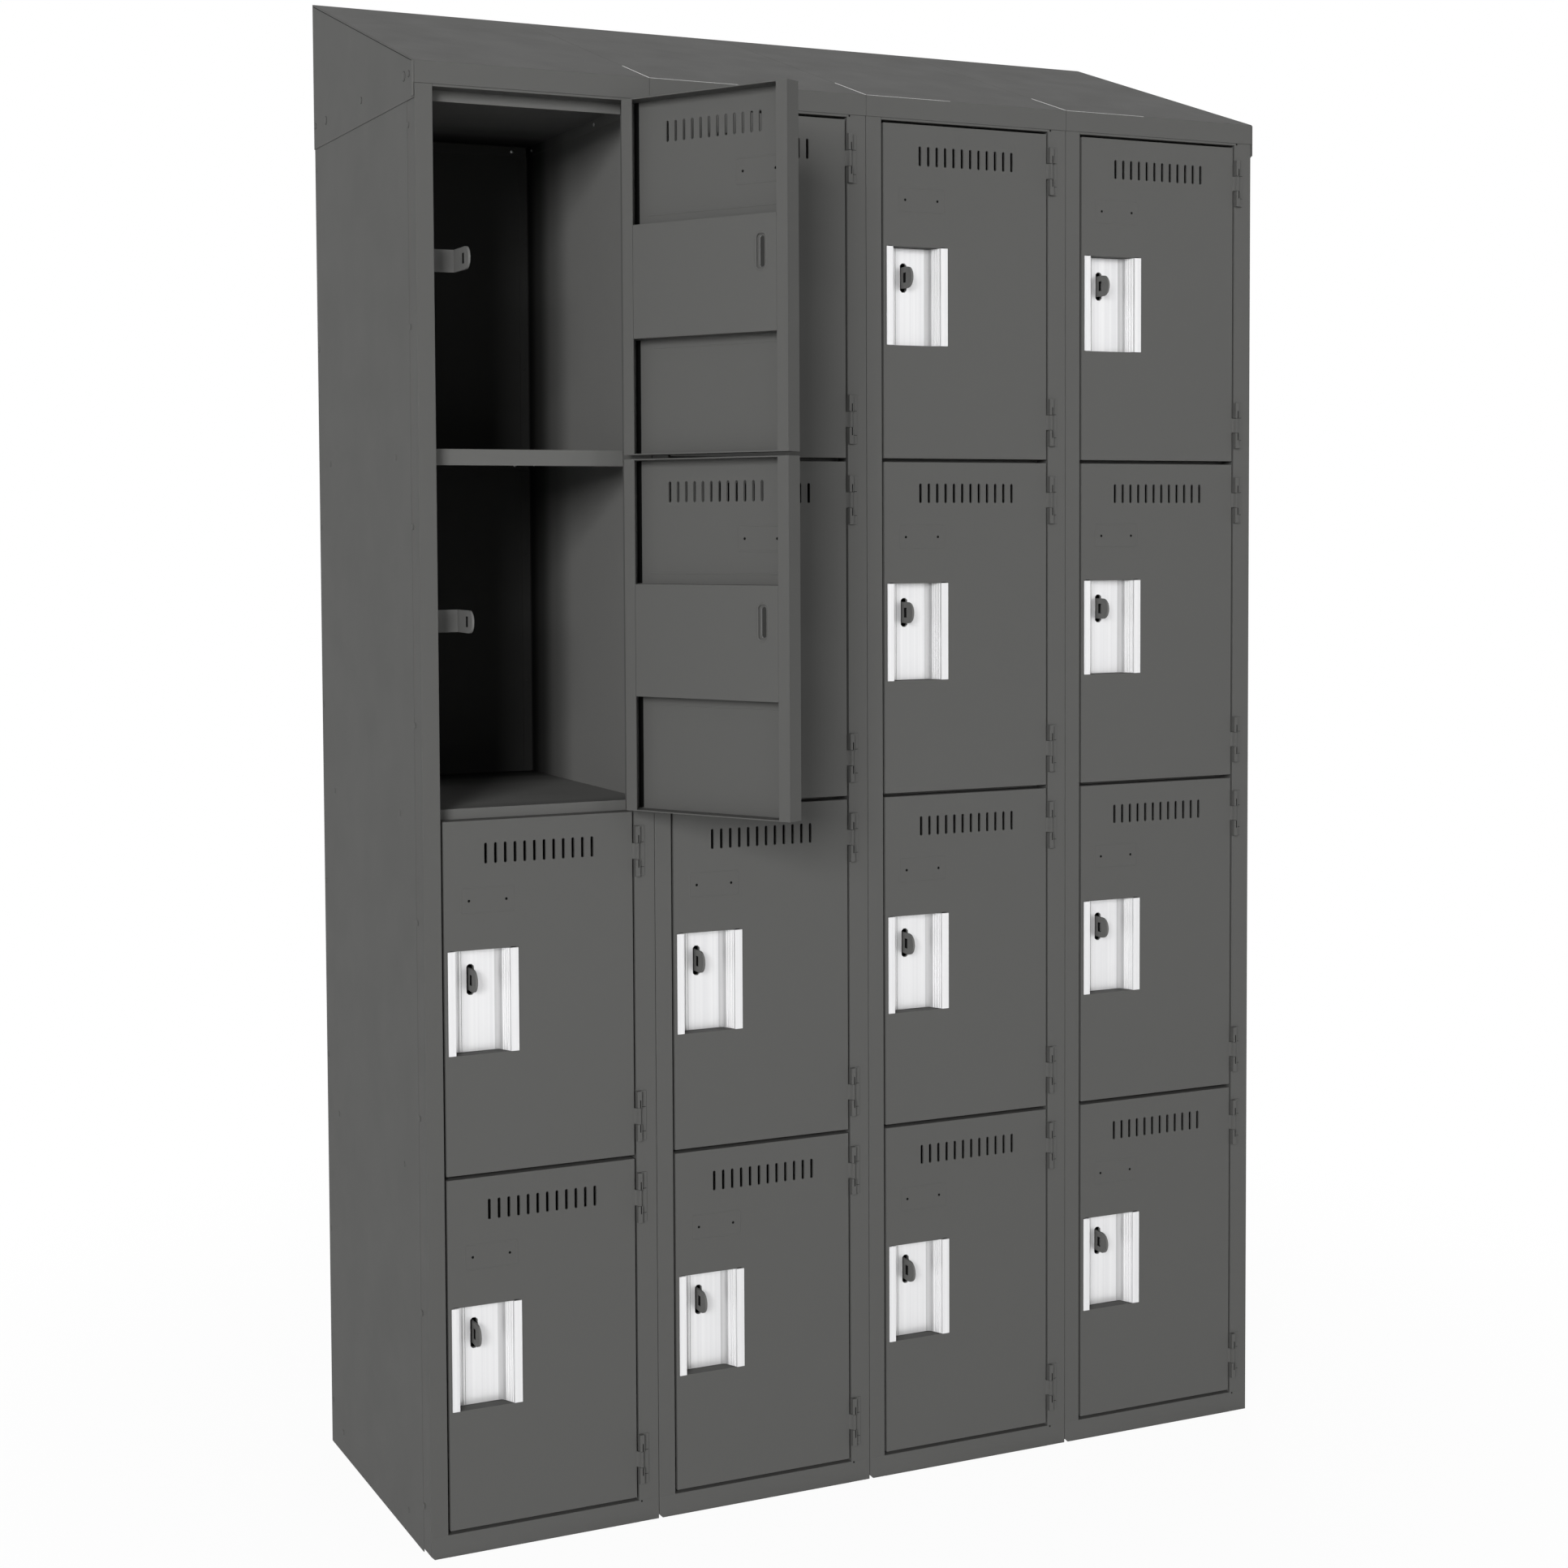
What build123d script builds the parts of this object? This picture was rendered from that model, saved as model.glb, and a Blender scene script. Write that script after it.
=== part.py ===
"""Four-column, four-tier steel locker cabinet with a slope top.

Millimetres.  X runs to the right, Y runs from the front to the back, Z is up.
The origin is on the floor, at the middle of the cabinet's footprint.
"""
import os

from build123d import *

# Cabinet layout
columns = 4
tiers = 4
column_pitch = 304.8
cabinet_depth = 457.2
body_height = 1829.0

# Sheet thicknesses
frame_sheet = 1.5
door_sheet = 1.5
body_sheet = 1.0
slope_sheet = 1.2
cover_sheet = 1.5

# Front frame
frame_seam = 0.3
left_jamb_face = 22.7
right_jamb_face = 27.6
jamb_outer_leg = 30.0
strike_leg = 45.0
hinge_leg = 30.0
base_rail_height = 28.0
header_height = 24.0
rail_depth = 25.0
foot_notch = 5.0

# Doors
side_gap = 3.0
bottom_gap = 4.5
top_gap = 3.5
tier_gap = 5.0
door_thickness = 24.0
return_width = 16.0
open_angle = 120.0
open_doors = ("a1", "a2")

# Door vents
vent_count = 12
vent_pitch = 12.7
vent_width = 3.0
vent_height = 25.0
vent_drop = 28.5

# Recessed pull, an extrusion let into the door
pull_drop = 160.5
pull_height = 129.0
pull_inset = 3.9
pull_width = 91.4
pull_wall = 2.0
pull_depth = 20.0
pull_proud = 1.8
lip_width = 9.7
lip_lap = 2.4
flange_width = 8.5
pull_slant = 9.5
pull_bend = 5.0
pull_play = 0.3
end_flange_depth = 18.0

# Keeper slot in the pull and its cover
slot_from_lip = 34.9
slot_drop = 39.0
slot_width = 9.6
slot_height = 38.5
slot_corner = 2.8

# Cover plate behind the pull
cover_margin = 4.0
cover_play = 0.3
cover_slot_margin = 1.5

# Padlock keeper, fixed to the strike jamb
keeper_sheet = 2.5
keeper_height = 28.0
keeper_clearance = 2.0
keeper_reach = 28.0
keeper_tip = 3.0
eye_width = 7.0
eye_height = 13.0
eye_inset = 9.0
keeper_bend = 3.0
tongue_flat_count = 8

# Hinges
pin_radius = 2.0
pin_flat_count = 4
pin_play = 0.05
knuckle_size = 6.0
knuckle_height = 20.0
knuckle_gap = 0.5
knuckle_flat_count = 6
pin_stand_off = 3.6
pin_from_gap = 2.3
hinge_height = 64.0
hinge_leaf_width = 8.0
hinge_leaf_sheet = 1.2
hinge_end_distance = 18.0
strap_width = 2.2

# Shelves
shelf_rise = 10.0
shelf_nose = 20.0
shelf_flange = 15.0
nose_clearance = 3.0
shelf_notch_play = 0.5
ceiling_drop = 17.0

# Slope top
slope_rise = 151.0
slope_lift = 6.0
apron_height = 27.0
slope_seam = 0.3
end_sheet = 1.0
end_lap = 39.0

# Sizes that follow from the ones above
half_width = columns * column_pitch / 2
front_y = -cabinet_depth / 2
back_y = cabinet_depth / 2
opening_width = column_pitch - left_jamb_face - right_jamb_face
door_width = opening_width - 2 * side_gap
opening_height = body_height - base_rail_height - header_height
door_stack = opening_height - bottom_gap - top_gap
door_height = (door_stack - (tiers - 1) * tier_gap) / tiers
tier_pitch = door_height + tier_gap
slope_front_z = body_height + slope_lift
letters = "abcdefgh"

os.makedirs("parts", exist_ok=True)


def column_left(column):
    """X of a column's left boundary."""
    return -half_width + column * column_pitch


def door_bottom(tier):
    """Z of a door's lower edge; tier 1 is the top one."""
    return base_rail_height + bottom_gap + (tiers - tier) * tier_pitch


def door_name(column, tier):
    """Locker name such as a1: column letter, then tier from the top."""
    return f"{letters[column]}{tier}"


def panel_faces(boundary):
    """Left and right X of the upright sheet on a column boundary."""
    centre = column_left(boundary)
    if boundary == 0:
        centre += body_sheet / 2
    if boundary == columns:
        centre -= body_sheet / 2
    return centre - body_sheet / 2, centre + body_sheet / 2


def pin_x(column):
    """X of a column's hinge axis."""
    return column_left(column) + column_pitch - right_jamb_face + pin_from_gap


def hinge_place(column, tier):
    """Place of a door's hinge axis at the door's lower edge, with the door shut."""
    return Location((pin_x(column), front_y - pin_stand_off, door_bottom(tier)))


def door_place(column, tier):
    """Place of a door in the hinge frame: shut, or swung open where the cabinet stands open."""
    angle = open_angle if door_name(column, tier) in open_doors else 0.0
    return hinge_place(column, tier) * Rotation(0, 0, angle)


def save(part, name):
    """Label a finished piece and write its file."""
    part.label = name
    export_step(part, f"parts/{name}.step")


# Hinge frame: x is measured from the pin, y from the pin towards the inside, z from the door's foot
door_right = -pin_from_gap - side_gap
door_left = door_right - door_width
door_middle = (door_left + door_right) / 2
door_front = pin_stand_off
door_back = pin_stand_off + door_thickness
door_face = Plane(origin=(0, door_front, 0), x_dir=(1, 0, 0), z_dir=(0, -1, 0))
pull_left = door_left + pull_inset
pull_right = pull_left + pull_width
pull_foot = door_height - pull_drop - pull_height
pull_middle = pull_foot + pull_height / 2
slot_x = pull_left + slot_from_lip
slot_z = pull_foot + pull_height - slot_drop
bore_radius = pin_radius + pin_play
hinge_bottoms = (hinge_end_distance, door_height - hinge_end_distance - hinge_height)

# Door pan: a folded tray with returns on both sides, vents and a let-in for the pull
cut_left = pull_left + lip_lap - pull_play
cut_right = pull_right - flange_width + pull_play
cut_middle = (cut_left + cut_right) / 2
cut_width = cut_right - cut_left
cut_height = pull_height + 2 * pull_play
with BuildPart() as door_pan:
    with BuildSketch():
        with Locations((door_middle, (door_front + door_back) / 2)):
            Rectangle(door_width, door_thickness)
            Rectangle(door_width - 2 * door_sheet, door_thickness - 2 * door_sheet, mode=Mode.SUBTRACT)
        with Locations((door_middle, door_back - door_sheet / 2)):
            Rectangle(door_width - 2 * return_width, door_sheet, mode=Mode.SUBTRACT)
    extrude(amount=door_height)
    # Top and bottom edges are single folds
    for edge_height in (0, door_height - door_sheet):
        with BuildSketch(Plane.XY.offset(edge_height)):
            with Locations((door_middle, (door_front + door_back) / 2)):
                Rectangle(door_width, door_thickness)
        extrude(amount=door_sheet)
    # Vent slots across the top of the door, and the let-in for the pull
    with BuildSketch(door_face):
        with Locations((door_middle, door_height - vent_drop - vent_height / 2)):
            with GridLocations(vent_pitch, 0, vent_count, 1):
                Rectangle(vent_width, vent_height)
        with Locations((cut_middle, pull_middle)):
            Rectangle(cut_width, cut_height)
    extrude(amount=-door_sheet, mode=Mode.SUBTRACT)
    # The let-in's upper and lower edges are folded inwards
    for fold_foot in (pull_middle + cut_height / 2, pull_middle - cut_height / 2 - door_sheet):
        with BuildSketch(Plane.XY.offset(fold_foot)):
            with Locations((cut_middle, door_front + end_flange_depth / 2)):
                Rectangle(cut_width, end_flange_depth)
        extrude(amount=door_sheet)
    # Knuckles rolled in flats round the pin, each on a strap welded to the door's edge
    for hinge_bottom in hinge_bottoms:
        with BuildSketch(Plane.XY.offset(hinge_bottom + (hinge_height - knuckle_height) / 2)):
            with BuildLine():
                Polyline(
                    (door_right, door_front),
                    (door_right, door_front + strap_width),
                    (0, strap_width / 2),
                    (0, -strap_width / 2),
                    close=True,
                )
            make_face()
            RegularPolygon(knuckle_size / 2, knuckle_flat_count)
            RegularPolygon(bore_radius, knuckle_flat_count, major_radius=False, mode=Mode.SUBTRACT)
        extrude(amount=knuckle_height)

# Pull: an extruded finger recess with a lip on the latch side and a slanted wall on the other
lip_front = door_front - pull_proud
recess_floor = door_front + pull_depth
wall_left = pull_left + lip_lap
wall_right = pull_right - flange_width
with BuildPart() as door_pull:
    with BuildSketch(Plane.XY.offset(pull_foot)):
        with BuildLine():
            FilletPolyline(
                (wall_left + pull_wall, recess_floor - pull_wall),
                (wall_right - pull_slant - pull_wall, recess_floor - pull_wall),
                (wall_right - pull_wall, lip_front),
                radius=pull_bend,
            )
            Polyline(
                (wall_right - pull_wall, lip_front),
                (pull_right, lip_front),
                (pull_right, door_front),
                (wall_right, door_front),
                (wall_right - pull_slant, recess_floor),
                (wall_left, recess_floor),
                (wall_left, door_front),
                (pull_left, door_front),
                (pull_left, lip_front),
                (pull_left + lip_width, lip_front),
                (pull_left + lip_width, door_front),
                (wall_left + pull_wall, door_front),
                (wall_left + pull_wall, recess_floor - pull_wall),
            )
        make_face()
    extrude(amount=pull_height)
    # Slot that the padlock keeper comes through
    with BuildSketch(door_face.offset(-pull_depth)) as pull_slot:
        with Locations((slot_x, slot_z)):
            Rectangle(slot_width, slot_height)
        chamfer(pull_slot.vertices(), slot_corner)
    extrude(amount=pull_wall, mode=Mode.SUBTRACT)

# Cover: a plate between the returns, folded forwards above and below to sit on the front sheet
cover_width = door_width - 2 * return_width - 2 * cover_play
cover_height = pull_height + 2 * cover_margin + 2 * cover_sheet
cover_depth = door_thickness - door_sheet
with BuildPart() as pull_cover:
    with BuildSketch(Plane.YZ.offset(door_middle - cover_width / 2)):
        with Locations((door_back - cover_depth / 2, pull_middle)):
            Rectangle(cover_depth, cover_height)
        with Locations((door_back - cover_sheet - cover_depth / 2, pull_middle)):
            Rectangle(cover_depth, cover_height - 2 * cover_sheet, mode=Mode.SUBTRACT)
    extrude(amount=cover_width)
    with BuildSketch(door_face.offset(-door_thickness)) as cover_slot:
        with Locations((slot_x, slot_z)):
            Rectangle(slot_width + 2 * cover_slot_margin, slot_height + 2 * cover_slot_margin)
        chamfer(cover_slot.vertices(), slot_corner)
    extrude(amount=cover_sheet, mode=Mode.SUBTRACT)

# One door to each locker
for column in range(columns):
    for tier in range(1, tiers + 1):
        place = door_place(column, tier)
        locker = door_name(column, tier)
        save(place * door_pan.part, f"door_pan_{locker}")
        save(place * door_pull.part, f"door_pull_{locker}")
        save(place * pull_cover.part, f"pull_cover_{locker}")

# Strike jambs: channels on the left of each opening, with a deep inner leg for the keepers
with BuildPart() as left_jambs:
    for column in range(columns):
        left = column_left(column) + frame_seam
        right = column_left(column) + left_jamb_face
        with BuildSketch():
            with BuildLine():
                Polyline(
                    (left, front_y),
                    (right, front_y),
                    (right, front_y + strike_leg),
                    (right - frame_sheet, front_y + strike_leg),
                    (right - frame_sheet, front_y + frame_sheet),
                    (left + frame_sheet, front_y + frame_sheet),
                    (left + frame_sheet, front_y + jamb_outer_leg),
                    (left, front_y + jamb_outer_leg),
                    close=True,
                )
            make_face()
    extrude(amount=body_height)
    # The outer lower corner is notched to clear the next column's frame
    with BuildSketch(Plane.XZ.offset(-front_y)):
        for column in range(columns):
            left = column_left(column)
            with BuildLine():
                Polyline((left, 0), (left + foot_notch, 0), (left, foot_notch), close=True)
            make_face()
    extrude(amount=-jamb_outer_leg, mode=Mode.SUBTRACT)
save(left_jambs.part, "left_jambs")

# Hinge jambs: channels on the right of each opening
with BuildPart() as right_jambs:
    for column in range(columns):
        right = column_left(column + 1) - frame_seam
        left = column_left(column + 1) - right_jamb_face
        with BuildSketch():
            with BuildLine():
                Polyline(
                    (left, front_y),
                    (right, front_y),
                    (right, front_y + jamb_outer_leg),
                    (right - frame_sheet, front_y + jamb_outer_leg),
                    (right - frame_sheet, front_y + frame_sheet),
                    (left + frame_sheet, front_y + frame_sheet),
                    (left + frame_sheet, front_y + hinge_leg),
                    (left, front_y + hinge_leg),
                    close=True,
                )
            make_face()
    extrude(amount=body_height)
save(right_jambs.part, "right_jambs")

# Header and base rails: channels open to the back, between the jambs
header_hollow = header_height - 2 * frame_sheet
rail_hollow = base_rail_height - 2 * frame_sheet
with BuildPart() as top_rails:
    for column in range(columns):
        start = Plane.YZ.offset(column_left(column) + left_jamb_face)
        with BuildSketch(start):
            with Locations((front_y, body_height - header_height)):
                Rectangle(rail_depth, header_height, align=Align.MIN)
            with Locations((front_y + frame_sheet, body_height - header_height + frame_sheet)):
                Rectangle(rail_depth, header_hollow, align=Align.MIN, mode=Mode.SUBTRACT)
        extrude(amount=opening_width)
save(top_rails.part, "top_rails")

with BuildPart() as base_rails:
    for column in range(columns):
        start = Plane.YZ.offset(column_left(column) + left_jamb_face)
        with BuildSketch(start):
            with Locations((front_y, 0)):
                Rectangle(rail_depth, base_rail_height, align=Align.MIN)
            with Locations((front_y + frame_sheet, frame_sheet)):
                Rectangle(rail_depth, rail_hollow, align=Align.MIN, mode=Mode.SUBTRACT)
        extrude(amount=opening_width)
save(base_rails.part, "base_rails")

# Upright sheets: two outer sides and the partitions between the columns
panel_front = front_y + jamb_outer_leg
panel_back = back_y - body_sheet
with BuildPart() as side_panels:
    with BuildSketch():
        for boundary in range(columns + 1):
            left, right = panel_faces(boundary)
            with Locations((left, panel_front)):
                Rectangle(right - left, panel_back - panel_front, align=Align.MIN)
    extrude(amount=body_height)
save(side_panels.part, "side_panels")

# Back sheets, one to a column
with BuildPart() as back_panels:
    with BuildSketch():
        for column in range(columns):
            left = column_left(column)
            with Locations((left + slope_seam / 2, panel_back)):
                Rectangle(column_pitch - slope_seam, body_sheet, align=Align.MIN)
    extrude(amount=body_height)
save(back_panels.part, "back_panels")


# Shelves: trays with a folded nose that the doors close against
def shelf_tray(column):
    """A column's tray, its upper face at zero: plan cut round the jambs, then nose and other folds."""
    left = panel_faces(column)[1]
    right = panel_faces(column + 1)[0]
    nose_left = column_left(column) + left_jamb_face + shelf_notch_play
    nose_right = column_left(column + 1) - right_jamb_face - shelf_notch_play
    nose_y = front_y + door_thickness + nose_clearance
    left_notch = front_y + strike_leg + shelf_notch_play
    right_notch = front_y + max(hinge_leg, jamb_outer_leg) + shelf_notch_play
    with BuildPart() as tray:
        with BuildSketch():
            with BuildLine():
                Polyline(
                    (nose_left, nose_y),
                    (nose_right, nose_y),
                    (nose_right, right_notch),
                    (right, right_notch),
                    (right, panel_back),
                    (left, panel_back),
                    (left, left_notch),
                    (nose_left, left_notch),
                    close=True,
                )
            make_face()
        extrude(amount=-body_sheet)
        with BuildSketch():
            with Locations((nose_left, nose_y)):
                Rectangle(nose_right - nose_left, body_sheet, align=Align.MIN)
        extrude(amount=-shelf_nose)
        with BuildSketch():
            with Locations((left, left_notch)):
                Rectangle(body_sheet, panel_back - left_notch, align=Align.MIN)
            with Locations((right - body_sheet, right_notch)):
                Rectangle(body_sheet, panel_back - right_notch, align=Align.MIN)
            with Locations((left, panel_back - body_sheet)):
                Rectangle(right - left, body_sheet, align=Align.MIN)
        extrude(amount=-shelf_flange)
    return tray.part


trays = [shelf_tray(column) for column in range(columns)]
shelf_heights = [door_bottom(tier) - tier_gap / 2 + shelf_rise for tier in range(1, tiers + 1)]

with BuildPart() as shelves:
    with Locations(*[(0, 0, height) for height in shelf_heights]):
        add(trays)
save(shelves.part, "shelves")

with BuildPart() as ceilings:
    with Locations((0, 0, body_height - ceiling_drop)):
        add(trays)
save(ceilings.part, "ceilings")

# Padlock keeper: a bent strip with a plate on the strike jamb and a round tongue through the pull
plate_x = door_left - side_gap
plate_y = door_back + keeper_clearance
leg_y = door_back + keeper_reach
tongue_x = slot_x + keeper_sheet / 2
tongue_tip = door_front + keeper_tip
tongue_shoulder = tongue_tip + keeper_height / 2
with BuildPart() as keeper:
    with BuildSketch(Plane.XY.offset(slot_z - keeper_height / 2)) as strip:
        with BuildLine():
            Polyline(
                (plate_x, plate_y),
                (plate_x + keeper_sheet, plate_y),
                (plate_x + keeper_sheet, leg_y - keeper_sheet),
                (tongue_x - keeper_sheet, leg_y - keeper_sheet),
                (tongue_x - keeper_sheet, tongue_tip),
                (tongue_x, tongue_tip),
                (tongue_x, leg_y),
                (plate_x, leg_y),
                close=True,
            )
        make_face()
        chamfer(strip.vertices().group_by(Axis.Y)[-1], keeper_bend)
    extrude(amount=keeper_height)
    # The tongue's end is rounded and has the eye for the shackle
    with BuildSketch(Plane.YZ.offset(tongue_x)):
        with Locations((tongue_tip, slot_z)):
            Rectangle(keeper_height / 2, keeper_height, align=(Align.MIN, Align.CENTER))
        with Locations((tongue_shoulder, slot_z)):
            RegularPolygon(keeper_height / 2, tongue_flat_count, mode=Mode.SUBTRACT)
        with Locations((tongue_tip + eye_inset, slot_z)):
            Rectangle(eye_width, eye_height)
    extrude(amount=-keeper_sheet, mode=Mode.SUBTRACT)

# Frame half of a hinge: a leaf on the jamb, two knuckles and the pin between them
half_knuckle = knuckle_size / 2
end_knuckle = (hinge_height - knuckle_height) / 2 - knuckle_gap
with BuildPart() as hinge_leaf:
    with BuildSketch():
        with Locations((half_knuckle, door_front)):
            Rectangle(hinge_leaf_width, hinge_leaf_sheet, align=(Align.MIN, Align.MAX))
    extrude(amount=hinge_height)
    for end_foot in (0, hinge_height - end_knuckle):
        with BuildSketch(Plane.XY.offset(end_foot)):
            with Locations((0, -half_knuckle)):
                Rectangle(knuckle_size, door_front + half_knuckle, align=(Align.CENTER, Align.MIN))
        extrude(amount=end_knuckle)
    with BuildSketch(Plane.XY.offset(end_knuckle)):
        RegularPolygon(pin_radius, pin_flat_count)
    extrude(amount=hinge_height - 2 * end_knuckle)

# Keepers and hinges repeat at every locker
locker_places = [hinge_place(column, tier) for column in range(columns) for tier in range(1, tiers + 1)]
hinge_places = [place * Location((0, 0, foot)) for place in locker_places for foot in hinge_bottoms]

with BuildPart() as keepers:
    with Locations(*locker_places):
        add(keeper.part)
save(keepers.part, "keepers")

with BuildPart() as hinge_leaves:
    with Locations(*hinge_places):
        add(hinge_leaf.part)
save(hinge_leaves.part, "hinge_leaves")

# Slope top: a bent sheet to each column, with an apron over the header and a drop at the back
with BuildPart() as slope_tops:
    for column in range(columns):
        start = Plane.YZ.offset(column_left(column) + slope_seam / 2)
        apron_y = front_y - slope_sheet
        drop_y = back_y - slope_sheet
        with BuildSketch(start):
            with BuildLine():
                Polyline(
                    (apron_y, slope_front_z - apron_height),
                    (front_y, slope_front_z - apron_height),
                    (front_y, slope_front_z - slope_sheet),
                    (drop_y, slope_front_z + slope_rise - slope_sheet),
                    (drop_y, body_height),
                    (back_y, body_height),
                    (back_y, slope_front_z + slope_rise),
                    (apron_y, slope_front_z),
                    close=True,
                )
            make_face()
        extrude(amount=column_pitch - slope_seam)
save(slope_tops.part, "slope_tops")

# End plates that close the slope top and lap the outer sides
with BuildPart() as slope_ends:
    for start in (Plane.YZ.offset(-half_width - end_sheet), Plane.YZ.offset(half_width)):
        with BuildSketch(start):
            with BuildLine():
                Polyline(
                    (front_y, slope_front_z - end_lap - slope_lift),
                    (back_y, slope_front_z - end_lap - slope_lift),
                    (back_y, slope_front_z + slope_rise),
                    (front_y - slope_sheet, slope_front_z),
                    (front_y - slope_sheet, slope_front_z - apron_height),
                    (front_y, slope_front_z - apron_height),
                    close=True,
                )
            make_face()
        extrude(amount=end_sheet)
save(slope_ends.part, "slope_ends")
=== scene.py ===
"""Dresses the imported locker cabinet: finishes, pressed and riveted details, studio and camera.

Sizes in the classes are in millimetres, as on a sheet-metal drawing, and become metres
when a mesh is made.  X runs to the right, Y from the doors to the back, Z is up.
"""

import logging
import math
from dataclasses import dataclass, field
from enum import Enum
from typing import Iterator, Sequence

import bmesh
import bpy
from mathutils import Matrix, Vector


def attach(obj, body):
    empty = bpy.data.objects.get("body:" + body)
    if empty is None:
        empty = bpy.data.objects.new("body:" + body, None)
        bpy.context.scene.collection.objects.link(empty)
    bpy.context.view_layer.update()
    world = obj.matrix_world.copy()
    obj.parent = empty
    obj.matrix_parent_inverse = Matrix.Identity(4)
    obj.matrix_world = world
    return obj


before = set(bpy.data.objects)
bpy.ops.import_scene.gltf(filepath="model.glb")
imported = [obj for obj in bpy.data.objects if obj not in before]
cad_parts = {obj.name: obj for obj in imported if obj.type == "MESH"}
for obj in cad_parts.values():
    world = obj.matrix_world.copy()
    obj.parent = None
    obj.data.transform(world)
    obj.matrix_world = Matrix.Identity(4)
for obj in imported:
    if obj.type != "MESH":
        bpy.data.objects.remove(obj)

log = logging.getLogger("locker_cabinet")

MM = 0.001

# Painted light and shade inside the lockers: limits of the case in metres, and the painted brightness at
# each share of the depth, lighter at mid depth and dark at the back where shade falls.
CASE_HALF_DEPTH = 0.2286
BACK_LIMIT = 0.2281
SIDE_LIMIT = 0.6091
PAINTED_LIGHT_GAIN = 1.7
PAINTED_LIGHT_AND_SHADE_STOPS = (
    (0.0, 0.60),
    (0.06, 0.70),
    (0.18, 0.95),
    (0.62, 1.0),
    (0.78, 0.70),
    (0.90, 0.24),
    (0.98, 0.05),
    (0.996, 0.24),
)

# Left between two corner arcs that would otherwise meet in one point.
CORNER_PLAY = 0.01

RIGHT = Vector((1, 0, 0))
LEFT = Vector((-1, 0, 0))
FORWARD = Vector((0, -1, 0))
REARWARD = Vector((0, 1, 0))
UP = Vector((0, 0, 1))
STILL = Matrix.Identity(4)

Point = tuple[float, float]
Place = tuple[float, float, float]
Colour = tuple[float, float, float, float]
Wire = tuple[bpy.types.Node, str | int, bpy.types.Node, str | int]

MID_GREY: Colour = (0.5, 0.5, 0.5, 1.0)


class Slot(Enum):
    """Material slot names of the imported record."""

    PAINT = "paint"
    ALUMINIUM = "aluminium"


class Effect(Enum):
    """Names of the shader node groups that several finishes share."""

    TONE_DRIFT = "tone_drift"
    POWDER_PEEL = "powder_peel"
    DRAW_LINES = "draw_lines"
    SETTLED_DUST = "settled_dust"
    # Painted light and shade inside the lockers.
    PAINTED_INTERIOR_LIGHT_AND_SHADE = "painted_interior_light_and_shade"


def add_node(
    tree: bpy.types.NodeTree,
    kind: str,
    values: dict[str | int, object] | None = None,
    **settings: object,
) -> bpy.types.Node:
    """Add a shader node.

    Args:
        tree: The tree that it goes in.
        kind: The node's type, without the ShaderNode that every type starts with.
        values: Constant inputs, by socket.
        **settings: The node's own settings, such as the operation of a Math node.

    Returns:
        The new node.
    """
    node = tree.nodes.new(f"ShaderNode{kind}")
    for name, setting in settings.items():
        setattr(node, name, setting)
    for socket, value in (values or {}).items():
        node.inputs[socket].default_value = value
    return node


def wire(tree: bpy.types.NodeTree, *wires: Wire) -> None:
    """Link nodes of a tree.

    Args:
        tree: The tree that they are in.
        *wires: A node, its output, the node that this feeds, and its input.
    """
    for source, output, sink, socket in wires:
        tree.links.new(source.outputs[output], sink.inputs[socket])


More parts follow.
